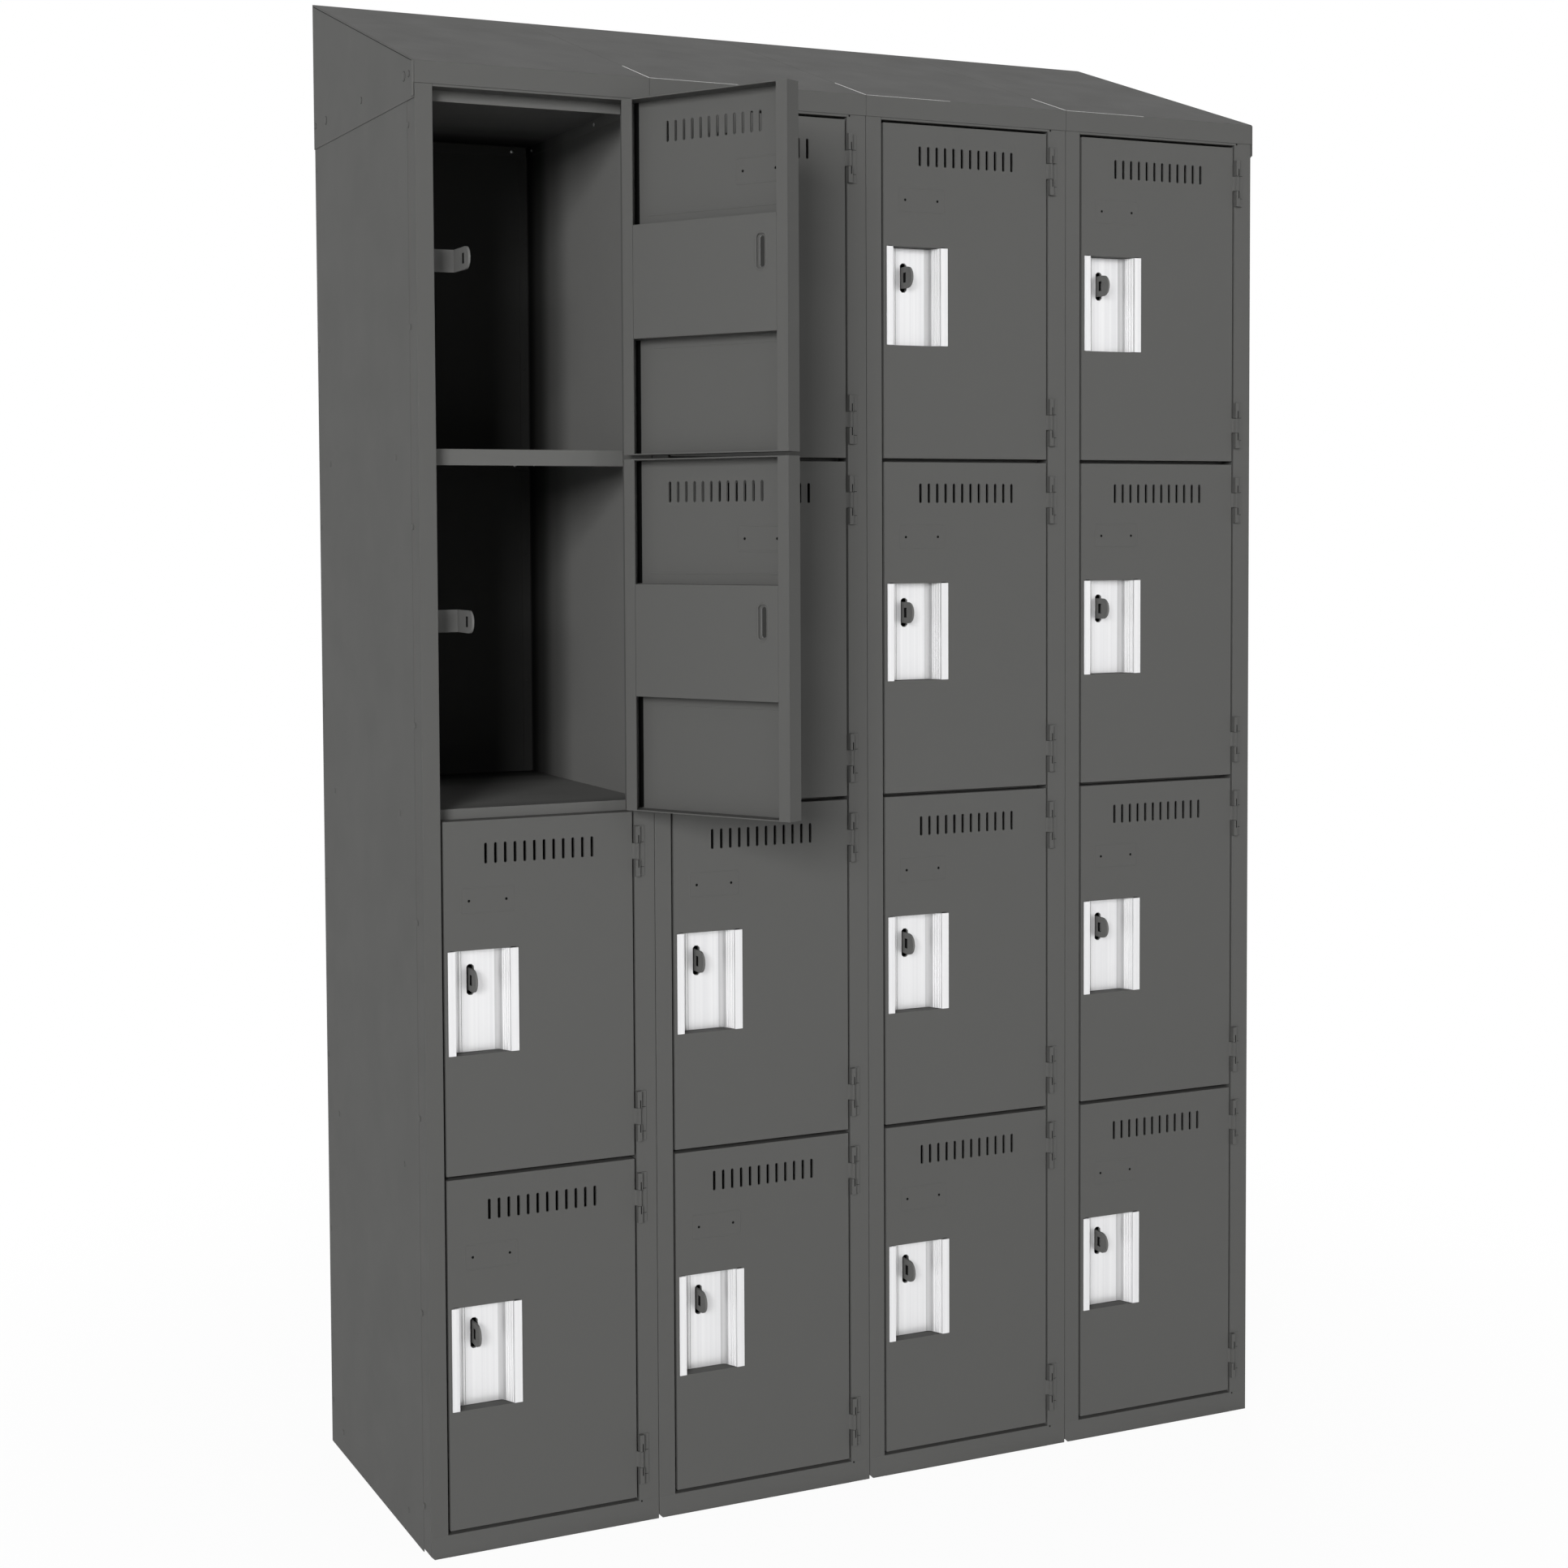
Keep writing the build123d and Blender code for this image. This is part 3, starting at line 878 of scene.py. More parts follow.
@dataclass
class DoorDress:
    """Pressed and drilled details of one door, in its hinge frame.

    A section is the width and height of a bead.  A reach is the lower and upper end of a piece.
    """

    layout: Layout
    finishes: Finishes
    name: str
    column: int
    tier: int
    front_y: float = 3.6
    sheet: float = 1.5
    back_y: float = 27.6
    door_reach: Point = (1.5, 437.0)
    plate_centre: Point = (-197.4, 339.5)
    plate_size: Point = (68.0, 31.0)
    plate_corner: float = 2.5
    outer_section: Point = (1.6, 0.22)
    inner_section: Point = (1.8, 0.30)
    hole_spacing: float = 48.3
    hole_radius: float = 1.7
    shade_lift: float = 0.06
    shade_inset: float = 0.5
    channel_shade: Point = (8.0, 15.5)
    vent_middle: Point = (-129.55, 397.5)
    vent_count: int = 12
    vent_pitch: float = 12.7
    vent_size: Point = (3.0, 25.0)
    vent_corner: float = 0.3
    # Width, corner and thickness of the ring of painted shade round each vent.
    vent_shade_width: float = 0.4
    vent_shade_corner: float = 1.8
    vent_shade_lift: float = 0.05
    slot_centre: Point = (-215.0, 239.0)
    slot_corner: float = 2.8
    liner_y: float = 24.2
    liner_size: Point = (30.0, 56.0)
    liner_hole: Point = (7.0, 37.0)
    liner_sheet: float = 0.5
    ring_size: Point = (16.0, 46.0)
    ring_section: Point = (2.2, 0.5)
    cover_reach: Point = (143.5, 283.5)
    crease_below: float = 11.0
    crease_above: float = 13.0
    crease_ends: Point = (29.3, 234.8)
    pull_foot: float = 149.0
    pull_height: float = 129.0
    pull_inset: float = 0.4
    lip_edge: float = -240.2
    floor_y: float = 21.6
    floor_grooves: tuple[Point, ...] = ((9.6, 0.5), (13.2, 0.4))
    floor_rib_offset: float = -0.8
    floor_rib_section: Point = (1.0, 0.3)
    groove_lift: float = 0.05
    slant_foot: Point = (-178.5, 21.6)
    slant_head: Point = (-169.0, 1.8)
    slant_ribs: tuple[float, ...] = (0.36, 0.48, 0.60, 0.72, 0.84)
    slant_rib_section: Point = (1.8, 0.4)
    slant_groove_offset: float = 1.3
    slant_groove: float = 0.4
    bend_reach: float = 5.5
    bend_steps: int = 6
    bend_backing: float = 0.2
    lip_gaps: tuple[Point, ...] = ((-246.5, -241.0), (-168.0, -161.5))
    lip_gap_rise: float = 0.4
    lip_gap_height: float = 0.9

    def __post_init__(self) -> None:
        """Set up the faces that the details stand on."""
        self.place = self.layout.door(self.name, self.column, self.tier)
        self.outer = Face.at_y(self.place, self.front_y, RIGHT)
        self.inner = Face.at_y(self.place, self.front_y + self.sheet, LEFT)
        self.cover = Face.at_y(self.place, self.back_y, LEFT)
        self.liner = Face.at_y(self.place, self.liner_y, LEFT)
        self.floor = Face.at_y(self.place, self.floor_y, RIGHT)
        foot, head = Vector((*self.slant_foot, 0)), Vector((*self.slant_head, 0))
        self.slant = Face(self.place, foot, (head - foot).normalized(), UP)
        self.slant_length = (head - foot).length

    @property
    def body(self) -> str:
        """The door's CAD body."""
        return f"door_{self.name}"

    def build(self) -> None:
        """Make every detail of the door."""
        self._pressings()
        self._holes()
        self._pull_ribs()

    def _pressings(self) -> None:
        """Name-plate frame, the ring and liner of the cover's slot, and creases beside the cover."""
        work = Work(f"door_{self.name}_pressings")
        u, v = self.plate_centre
        plate = rounded_outline(*self.plate_size, self.plate_corner)
        work.bead(self.outer, moved(plate, u, v), self.outer_section, closed=True)
        work.bead(self.inner, moved(plate, -u, v), self.inner_section, closed=True)
        u, v = self.slot_centre
        ring = rounded_outline(*self.ring_size, self.ring_size[0] / 2 - CORNER_PLAY, steps=8)
        work.bead(self.cover, moved(ring, -u, v), self.ring_section, closed=True)
        hole = rounded_outline(*self.liner_hole, self.slot_corner)
        rim = rounded_outline(*self.liner_size, self.slot_corner)
        work.ring(self.liner, moved(hole, -u, v), moved(rim, -u, v), self.liner_sheet)
        start, end = self.crease_ends
        for height in (self.cover_reach[0] - self.crease_below, self.cover_reach[1] + self.crease_above):
            work.bead(self.inner, [(start, height), (end, height)], self.inner_section, closed=False)
        work.finish(self.body, self.finishes.paint)

    def _holes(self) -> None:
        """Name-plate holes on both sides of the sheet, rings of painted shade round the vents, and strips
        of painted shade along the hinge channel.
        """
        work = Work(f"door_{self.name}_holes")
        u, v = self.plate_centre
        hole = disc_outline(self.hole_radius, steps=4)
        for side in (-0.5, 0.5):
            across = u + side * self.hole_spacing
            work.patch(self.outer, moved(hole, across, v), self.shade_lift)
            work.patch(self.inner, moved(hole, -across, v), self.shade_lift)
        self._vent_shade_rings(work)
        # Strips of painted shade beside the hinge channel, above and below the cover.
        near, far = self.channel_shade
        spans = (self.door_reach[0], self.cover_reach[0]), (self.cover_reach[1], self.door_reach[1])
        for low, high in spans:
            shade = rectangle(near, far, low + self.shade_inset, high - self.shade_inset)
            work.patch(self.inner, shade, self.shade_lift)
        work.finish(self.body, self.finishes.gap)

    def _vent_shade_rings(self, work: Work) -> None:
        """Rings of painted shade round the vent slots, on both sides of the sheet.

        Args:
            work: The piece that takes them.
        """
        width, height = self.vent_size
        hole = rounded_outline(width, height, self.vent_corner, steps=2)
        grown = 2 * self.vent_shade_width
        rim = rounded_outline(width + grown, height + grown, self.vent_shade_corner, steps=2)
        middle, v = self.vent_middle
        for index in range(self.vent_count):
            u = middle + (index - (self.vent_count - 1) / 2) * self.vent_pitch
            for face, across in ((self.outer, u), (self.inner, -u)):
                work.ring(face, moved(hole, across, v), moved(rim, across, v), self.vent_shade_lift)

    def _pull_ribs(self) -> None:
        """Ribs with a painted highlight, grooves, painted shade in the inside bend of the extruded pull,
        and the gaps over its lip and flange.
        """
        ribs = Work(f"door_{self.name}_pull_ribs")
        grooves = Work(f"door_{self.name}_pull_grooves")
        bend = Work(f"door_{self.name}_pull_bend_painted_shade")
        top = self.pull_foot + self.pull_height
        low, high = self.pull_foot + self.pull_inset, top - self.pull_inset
        for offset, width in self.floor_grooves:
            across = self.lip_edge + offset
            rib = across + self.floor_rib_offset
            ribs.bead(self.floor, [(rib, low), (rib, high)], self.floor_rib_section, closed=False)
            grooves.patch(self.floor, strip(across, width, low, high), self.groove_lift)
        bend.prism(self.place, self._bend_outline(), low, high)
        for share in self.slant_ribs:
            rib = self.slant_length * share
            groove = strip(rib + self.slant_groove_offset, self.slant_groove, low, high)
            ribs.bead(self.slant, [(rib, low), (rib, high)], self.slant_rib_section, closed=False)
            bend.patch(self.slant, groove, self.groove_lift)
        for left, right in self.lip_gaps:
            foot = top + self.lip_gap_rise
            gap = rectangle(left, right, foot, foot + self.lip_gap_height)
            grooves.patch(self.outer, gap, self.shade_lift)
        # Ribs take a lighter aluminium: painted highlight.
        ribs.finish(self.body, self.finishes.rib)
        # Inside bend and slant grooves take a darker aluminium: painted shade.
        bend.finish(self.body, self.finishes.bend)
        grooves.finish(self.body, self.finishes.gap)

    def _bend_outline(self) -> list[Point]:
        """Plan of the painted shade in the inside bend between the pull's floor and its slanted wall."""
        corner = Vector(self.slant_foot)
        along = (Vector(self.slant_head) - corner).normalized()
        start = corner + Vector((-self.bend_reach, 0.0))
        end = corner + along * self.bend_reach
        points = []
        for step in range(self.bend_steps + 1):
            share = step / self.bend_steps
            near = start.lerp(corner, share)
            points.append(tuple(near.lerp(corner.lerp(end, share), share)))
        return points + [(corner.x + self.bend_backing, corner.y + self.bend_backing)]


@dataclass
class HingeDress:
    """Slits and windows of each hinge, the slots behind them in the jamb, and the keepers' tongues."""

    layout: Layout
    finishes: Finishes
    hinge_height: float = 64.0
    end_distance: float = 18.0
    knuckle_front: float = -3.0
    knuckle_end: float = 21.3
    slit_x: float = 1.0
    slit_width: float = 1.3
    slit_height: float = 10.0
    slit_corner: float = 0.3
    slit_lift: float = 0.08
    leaf_front: float = 2.4
    leaf_reach: Point = (3.4, 10.2)
    window_edge: float = 0.6
    window_lift: float = 0.06
    tongue_x: float = -213.75
    tongue_sheet: float = 2.5
    tongue_skin: float = 0.15
    tongue_root: float = 20.5
    tongue_tip: float = -4.4
    tongue_height: float = 28.0
    tongue_corner: float = 0.3
    tongue_steps: int = 6
    eye_middle: Point = (15.6, 239.0)
    eye_size: Point = (7.0, 13.0)
    eye_corner: float = 0.3
    # Inset, corner, overlap and thickness of the ring of painted shade inside each keeper's eye.
    eye_shade_inset: float = 0.6
    eye_shade_corner: float = 1.6
    eye_shade_overlap: float = 0.1
    eye_shade_skin: float = 0.2
    jamb_x: float = -2.3
    jamb_front: float = 3.6
    slot_depth: float = 19.0
    slot_width: float = 4.6
    slot_height: float = 14.0
    slot_spacing: float = 38.0
    slot_lift: float = 0.08

    def build(self) -> None:
        """Make the slits and slots of every hinge, and the tongue of every keeper."""
        slits = Work("hinge_slits")
        slots = Work("jamb_slots")
        tongues = Work("keeper_tongues")
        eye_shades = Work("keeper_eye_shades")
        high_hinge = self.layout.door_height - self.end_distance - self.hinge_height
        for _, column, tier in self.layout.lockers():
            place = self.layout.hinge(column, tier)
            front = Face.at_y(place, self.knuckle_front, RIGHT)
            jamb = Face.at_x(place, self.jamb_x, FORWARD)
            leaf = Face.at_y(place, self.leaf_front, RIGHT)
            for foot in (self.end_distance, high_hinge):
                self._slits(slits, front, leaf, foot)
                self._slots(slots, jamb, foot + self.hinge_height / 2)
            self._tongue(tongues, eye_shades, place)
        # Tongues take the lighter keeper paint: painted light.
        tongues.finish("cabinet", self.finishes.keeper_paint_painted_light)
        # Eyes take a ring of painted shade.
        eye_shades.finish("cabinet", self.finishes.gap)
        slits.finish("cabinet", self.finishes.gap)
        slots.finish("cabinet", self.finishes.gap)

    def _tongue(self, tongues: Work, eye_shades: Work, place: Matrix) -> None:
        """Long round end of a keeper's tongue, and a ring of painted shade inside its eye.

        Args:
            tongues: The piece that takes the end.
            eye_shades: The piece that takes the ring of painted shade.
            place: The locker's hinge frame.
        """
        u, v = -self.eye_middle[0], self.eye_middle[1]
        width, height = self.eye_size
        steps = self.tongue_steps
        inset, grown = self.eye_shade_inset, self.eye_shade_overlap
        end = tongue_outline(
            -self.tongue_root, -self.tongue_tip, self.tongue_height, self.tongue_corner, steps
        )
        eye = rounded_outline(width, height, self.eye_corner, steps)
        hole = rounded_outline(width - inset, height - inset, self.eye_shade_corner, steps)
        rim = rounded_outline(width + grown, height + grown, self.eye_corner, steps)
        skin = Face.at_x(place, self.tongue_x + self.tongue_skin, FORWARD)
        tongues.ring(skin, moved(eye, u, v), moved(end, 0.0, v), self.tongue_sheet + 2 * self.tongue_skin)
        eye_shade_face = Face.at_x(place, self.tongue_x + self.eye_shade_skin, FORWARD)
        eye_shades.ring(eye_shade_face, moved(hole, u, v), moved(rim, u, v), self.tongue_sheet + 2 * self.eye_shade_skin)

    def _slits(self, work: Work, front: Face, leaf: Face, foot: float) -> None:
        """Dark slits at the inner ends of a hinge's two fixed knuckles, and the windows' lower edges.

        Args:
            work: The piece that takes them.
            front: The knuckles' front face.
            leaf: The leaf's front face.
            foot: Height of the hinge's lower end.
        """
        middles = (
            foot + self.knuckle_end - self.slit_height / 2,
            foot + self.hinge_height - self.knuckle_end + self.slit_height / 2,
        )
        slit = rounded_outline(self.slit_width, self.slit_height, self.slit_corner, steps=2)
        for middle in middles:
            low = middle - self.slit_height / 2
            work.patch(front, moved(slit, self.slit_x, middle), self.slit_lift)
            work.patch(leaf, rectangle(*self.leaf_reach, low, low + self.window_edge), self.window_lift)

    def _slots(self, work: Work, jamb: Face, middle: float) -> None:
        """Two half-moon slots in the jamb's inner leg.

        Args:
            work: The piece that takes them.
            jamb: The inner leg's face.
            middle: Height of the hinge's middle.
        """
        outline = half_moon(self.slot_width, self.slot_height)
        across = -self.jamb_front - self.slot_depth
        for side in (-0.5, 0.5):
            height = middle + side * self.slot_spacing
            work.patch(jamb, moved(outline, across, height), self.slot_lift)


@dataclass
class CaseDress:
    """Rivets, bands, seams and bend reliefs of the case, and painted highlights in bright steel at the
    slope top's joints.
    """

    layout: Layout
    finishes: Finishes
    rivet_radius: float = 3.9
    rivet_height: float = 1.0
    rivet_foot: float = 60.0
    rivet_pitch: float = 243.0
    rivet_count: int = 8
    side_depths: Point = (26.0, 450.0)
    shelf_depths: Point = (94.0, 399.0)
    shelf_drop: float = 2.0
    back_inset: float = 11.0
    bolt_rise: float = 31.0
    bolts: tuple[Point, ...] = ((18.0, 3.6), (38.0, 5.6), (225.0, 3.8), (396.0, 5.0), (449.0, 3.6))
    # Width of the ring of painted shade round each fastener's head.
    bolt_shade_width: float = 0.7
    seam_start: float = 3.0
    seam_end: float = 2.0
    seam_drop: float = 2.4
    seam_width: float = 0.9
    seam_foot: float = 28.0
    seam_lift: float = 0.06
    band_height: float = 28.0
    band_inset: float = 0.6
    band_lift: float = 0.45
    floor_play: float = 0.2
    foot_notch: float = 5.4
    roll_inset: float = 1.2
    roll_section: Point = (4.4, 2.2)
    roll_ends: Point = (2.0, 1.0)
    right_jamb_face: float = 27.6
    header_foot: float = 1805.0
    relief_radius: float = 1.2
    relief_inset: float = 3.4
    relief_above: float = 1.6
    relief_below: float = 1.2
    relief_lift: float = 0.5
    end_plate_foot: float = 1790.0
    end_sheet: float = 1.0
    slope_front: float = 1835.0
    slope_rise: float = 151.0
    slope_sheet: float = 1.2
    joint_reach: Point = (1.0, 95.0)
    joint_section: Point = (0.9, 0.35)
    lip_reach: Point = (0.6, 125.0)
    lip_height: float = 0.3
    lip_section: Point = (0.7, 0.25)

    def __post_init__(self) -> None:
        """Set up the frame's front face and the outer faces of the end plates."""
        self.front = Face.at_y(STILL, self.layout.front, RIGHT)
        reach = self.layout.half_width + self.end_sheet
        self.plates = {outward: self._side(reach, outward) for outward in (1, -1)}

    def build(self) -> None:
        """Make the rivets, the folded bands, the reliefs and the edges."""
        self._rivets()
        self._bands()
        self._reliefs()
        self._painted_edge_highlights()

    def _side(self, reach: float, outward: int) -> Face:
        """Outer face of a side, at that distance from the middle; u runs back or forward.

        Args:
            reach: Distance from the cabinet's middle.
            outward: 1 on the right, -1 on the left.

        Returns:
            The face, with u positive towards the back on the right and negative on the left.
        """
        origin = Vector((reach * outward, self.layout.front, 0))
        return Face(STILL, origin, REARWARD * outward, UP)

    def _rivet_heights(self) -> list[float]:
        """Heights of an upright row of rivets."""
        return [self.rivet_foot + step * self.rivet_pitch for step in range(self.rivet_count)]

    def _rivets(self) -> None:
        """Rivets of the sides and the back, and the end plates' fasteners and seams."""
        rivets = Work("case_rivets")
        # End-plate seams, and rings of painted shade round the fasteners.
        seams = Work("end_plate_seams_and_bolt_shade")
        for outward in (1, -1):
            self._side_rivets(rivets, outward)
            self._bolts(rivets, seams, outward)
            self._plate_seams(seams, outward)
        self._back_rivets(rivets)
        rivets.finish("cabinet", self.finishes.paint)
        seams.finish("cabinet", self.finishes.gap)

    def _side_rivets(self, work: Work, outward: int) -> None:
        """Upright rows and shelf rivets of an outer side.

        Args:
            work: The piece that takes them.
            outward: 1 on the right, -1 on the left.
        """
        layout = self.layout
        side = self._side(layout.half_width, outward)
        shelves = [layout.door_foot(tier) - self.shelf_drop for tier in range(1, layout.tiers + 1)]
        rows = ((self._rivet_heights(), self.side_depths), (shelves, self.shelf_depths))
        for heights, depths in rows:
            for height in heights:
                for depth in depths:
                    work.dome(side, outward * depth, height, self.rivet_radius, self.rivet_height)

    def _bolts(self, heads: Work, bolt_shade_rings: Work, outward: int) -> None:
        """Fasteners of an end plate, each with a ring of painted shade round its head.

        Args:
            heads: The piece that takes the heads.
            bolt_shade_rings: The piece that takes the rings of painted shade.
            outward: 1 on the right, -1 on the left.
        """
        plate = self.plates[outward]
        height = self.end_plate_foot + self.bolt_rise
        for depth, radius in self.bolts:
            u = outward * depth
            inner = disc_outline(radius, steps=6)
            outer = disc_outline(radius + self.bolt_shade_width, steps=6)
            heads.dome(plate, u, height, radius, self.rivet_height)
            bolt_shade_rings.ring(plate, moved(inner, u, height), moved(outer, u, height), self.seam_lift)

    def _back_rivets(self, work: Work) -> None:
        """Rivets along the upright seams of the back sheets.

        Args:
            work: The piece that takes them.
        """
        layout = self.layout
        back = Face.at_y(STILL, layout.back, LEFT)
        for column in range(layout.columns):
            left, right = layout.left_of(column), layout.left_of(column + 1)
            for x in (left + self.back_inset, right - self.back_inset):
                for height in self._rivet_heights():
                    work.dome(back, -x, height, self.rivet_radius, self.rivet_height)

    def _plate_seams(self, work: Work, outward: int) -> None:
        """Dark seams along an end plate's sloped and front edges.

        Args:
            work: The piece that takes them.
            outward: 1 on the right, -1 on the left.
        """
        start, end = self.seam_start, self.layout.depth - self.seam_end
        slope = self.slope_rise / (self.layout.depth + self.slope_sheet)
        low, width = self.slope_front - self.seam_drop, self.seam_width
        seam = [
            (outward * start, low + start * slope),
            (outward * end, low + end * slope),
            (outward * end, low + end * slope + width),
            (outward * start, low + start * slope + width),
        ]
        foot = self.slope_front - self.seam_foot
        edge = rectangle(outward * start, outward * (start + width), foot, low)
        for outline in (seam, edge):
            work.patch(self.plates[outward], outline if outward > 0 else outline[::-1], self.seam_lift)

    def _bands(self) -> None:
        """Folded band across the foot of each column, and the rolled front edges of the end plates."""
        work = Work("case_bands")
        layout = self.layout
        for column in range(layout.columns):
            left = layout.left_of(column) + self.band_inset
            right = layout.left_of(column + 1) - self.band_inset
            outline = [
                (left + self.foot_notch, self.floor_play),
                (right, self.floor_play),
                (right, self.band_height),
                (left, self.band_height),
                (left, self.foot_notch),
            ]
            work.patch(self.front, outline, self.band_lift)
        low, high = self.end_plate_foot + self.roll_ends[0], self.slope_front - self.roll_ends[1]
        for outward, plate in self.plates.items():
            u = outward * self.roll_inset
            work.bead(plate, [(u, low), (u, high)], self.roll_section, closed=False)
        work.finish("cabinet", self.finishes.paint)

    def _reliefs(self) -> None:
        """Bend reliefs at the hinge-side corners of each opening."""
        work = Work("frame_reliefs")
        layout = self.layout
        spot = disc_outline(self.relief_radius, steps=4)
        heights = (self.header_foot + self.relief_above, self.band_height - self.relief_below)
        for column in range(layout.columns):
            u = layout.left_of(column + 1) - self.right_jamb_face + self.relief_inset
            for height in heights:
                work.patch(self.front, moved(spot, u, height), self.relief_lift)
        work.finish("cabinet", self.finishes.gap)

    def _painted_edge_highlights(self) -> None:
        """Painted highlights: beads of bright steel where the slope sheets meet at the front, and along the
        front edge beside each joint.
        """
        work = Work("slope_painted_edge_highlights")
        layout = self.layout
        origin = Vector((0, layout.front - self.slope_sheet, self.slope_front))
        slope = Vector((0, layout.depth, self.slope_rise)).normalized()
        face = Face(STILL, origin, RIGHT, slope)
        for column in range(1, layout.columns):
            x = layout.left_of(column)
            joint = [(x, distance) for distance in self.joint_reach]
            lip = [(x + distance, self.lip_height) for distance in self.lip_reach]
            work.bead(face, joint, self.joint_section, closed=False)
            work.bead(face, lip, self.lip_section, closed=False)
        work.finish("cabinet", self.finishes.bright_steel_painted_highlight)


@dataclass
class InteriorDress:
    """Rivets of the trays and the corner angles behind them, inside every locker."""

    layout: Layout
    finishes: Finishes
    tray_tops: tuple[float, ...] = (40.0, 483.5, 927.0, 1370.5, 1812.0)
    flange: float = 15.0
    sheet: float = 1.0
    rivet_radius: float = 2.6
    rivet_height: float = 0.9
    side_rivets: Point = (-40.0, 205.0)
    rear_inset: float = 22.0
    angle_width: float = 12.0
    angle_sheet: float = 0.8
    angle_inset: float = 0.5
    angle_ends: Point = (0.5, 1.0)
    angle_rivets: Point = (0.3, 0.72)

    def build(self) -> None:
        """Make the rivets and the angles of every column."""
        rivets = Work("tray_rivets")
        angles = Work("corner_angles")
        foot, head = self.angle_ends
        for column in range(self.layout.columns):
            left, right = self._walls(column)
            for low, high in zip(self.tray_tops, self.tray_tops[1:]):
                self._tray(rivets, left, right, high - self.flange / 2)
                self._angles(angles, left, right, low + foot, high - self.flange - head)
        # Tray rivets: bare bright steel heads, also standing in for a painted highlight.
        rivets.finish("cabinet", self.finishes.bright_steel_painted_highlight)
        # Corner angles take the inside paint with painted light and shade.
        angles.finish("cabinet", self.finishes.inner_paint_with_painted_light_and_shade)

    def _walls(self, column: int) -> tuple[float, float]:
        """Find the inner faces of a column's two upright sheets.

        Args:
            column: The column, counted from the left.

        Returns:
            X of the left and of the right face.
        """
        left = self.sheet if column == 0 else self.sheet / 2
        right = self.sheet if column == self.layout.columns - 1 else self.sheet / 2
        return self.layout.left_of(column) + left, self.layout.left_of(column + 1) - right

    def _tray(self, work: Work, left: float, right: float, height: float) -> None:
        """Rivets through a tray's side and back flanges.

        Args:
            work: The piece that takes them.
            left: X of the left wall.
            right: X of the right wall.
            height: Height of the rivets.
        """
        right_side = Face.at_x(STILL, right - self.sheet, FORWARD)
        left_side = Face.at_x(STILL, left + self.sheet, REARWARD)
        for face, back in ((right_side, -1), (left_side, 1)):
            for depth in self.side_rivets:
                work.dome(face, back * depth, height, self.rivet_radius, self.rivet_height)
        rear = Face.at_y(STILL, self.layout.back - 2 * self.sheet, RIGHT)
        for across in (left + self.rear_inset, right - self.rear_inset):
            work.dome(rear, across, height, self.rivet_radius, self.rivet_height)

    def _angles(self, work: Work, left: float, right: float, low: float, high: float) -> None:
        """Two upright strips in a locker's back corners, each with two rivet heads.

        Args:
            work: The piece that takes them.
            left: X of the left wall.
            right: X of the right wall.
            low: Lower end.
            high: Upper end.
        """
        rear = Face.at_y(STILL, self.layout.back - self.sheet, RIGHT)
        head = self.angle_sheet + self.rivet_height
        for start in (left + self.angle_inset, right - self.angle_inset - self.angle_width):
            end = start + self.angle_width
            work.patch(rear, rectangle(start, end, low, high), self.angle_sheet)
            for share in self.angle_rivets:
                work.dome(rear, (start + end) / 2, low + (high - low) * share, self.rivet_radius, head)


@dataclass
class SolidDress:
    """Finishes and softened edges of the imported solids."""

    finishes: Finishes
    weld: float = 0.01
    edge: float = 0.45
    edge_segments: int = 2
    edge_angle: float = 35.0
    inner_nodes: tuple[str, ...] = ("side_panels", "back_panels", "shelves", "ceilings")

    def build(self) -> None:
        """Give every CAD node its material and its edge modifiers."""
        for name, node in sorted(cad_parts.items()):
            material = self._finish_of(name)
            node.data.materials.clear()
            node.data.materials.append(material)
            self._soften(node)
            log.info("%s takes %s", name, material.name)

    def _finish_of(self, name: str) -> bpy.types.Material:
        """Choose the finish of a CAD node.

        Args:
            name: The node's name.

        Returns:
            Its material.
        """
        if name.startswith("door_pull"):
            return self.finishes.aluminium
        # Inner sheets take the inside paint with painted light and shade.
        if name in self.inner_nodes:
            return self.finishes.inner_paint_with_painted_light_and_shade
        # Keepers take the lighter keeper paint: painted light.
        if name == "keepers":
            return self.finishes.keeper_paint_painted_light
        return self.finishes.paint

    def _soften(self, node: bpy.types.Object) -> None:
        """Round a node's sharp edges a little.

        Args:
            node: The CAD object; its own mesh stays as it is.
        """
        weld = node.modifiers.new("join", "WELD")
        weld.merge_threshold = self.weld * MM
        bevel = node.modifiers.new("edge", "BEVEL")
        bevel.width = self.edge * MM
        bevel.segments = self.edge_segments
        bevel.limit_method = "ANGLE"
        bevel.angle_limit = math.radians(self.edge_angle)
        bevel.use_clamp_overlap = True
        normals = node.modifiers.new("normals", "WEIGHTED_NORMAL")
        normals.keep_sharp = False


@dataclass(frozen=True)
class Lamp:
    """A square soft lamp, in metres and watts."""

    name: str
    place: Place
    size: float
    power: float
    target: Place = (0.0, 0.0, 1.0)

    def build(self) -> None:
        """Set up the lamp; it doesn't show in reflections."""
        data = bpy.data.lights.new(self.name, "AREA")
        data.size = self.size
        data.energy = self.power
        lamp = bpy.data.objects.new(self.name, data)
        lamp.location = self.place
        aim = Vector(self.target) - Vector(self.place)
        lamp.rotation_euler = aim.to_track_quat("-Z", "Y").to_euler()
        lamp.visible_glossy = False
        bpy.context.scene.collection.objects.link(lamp)


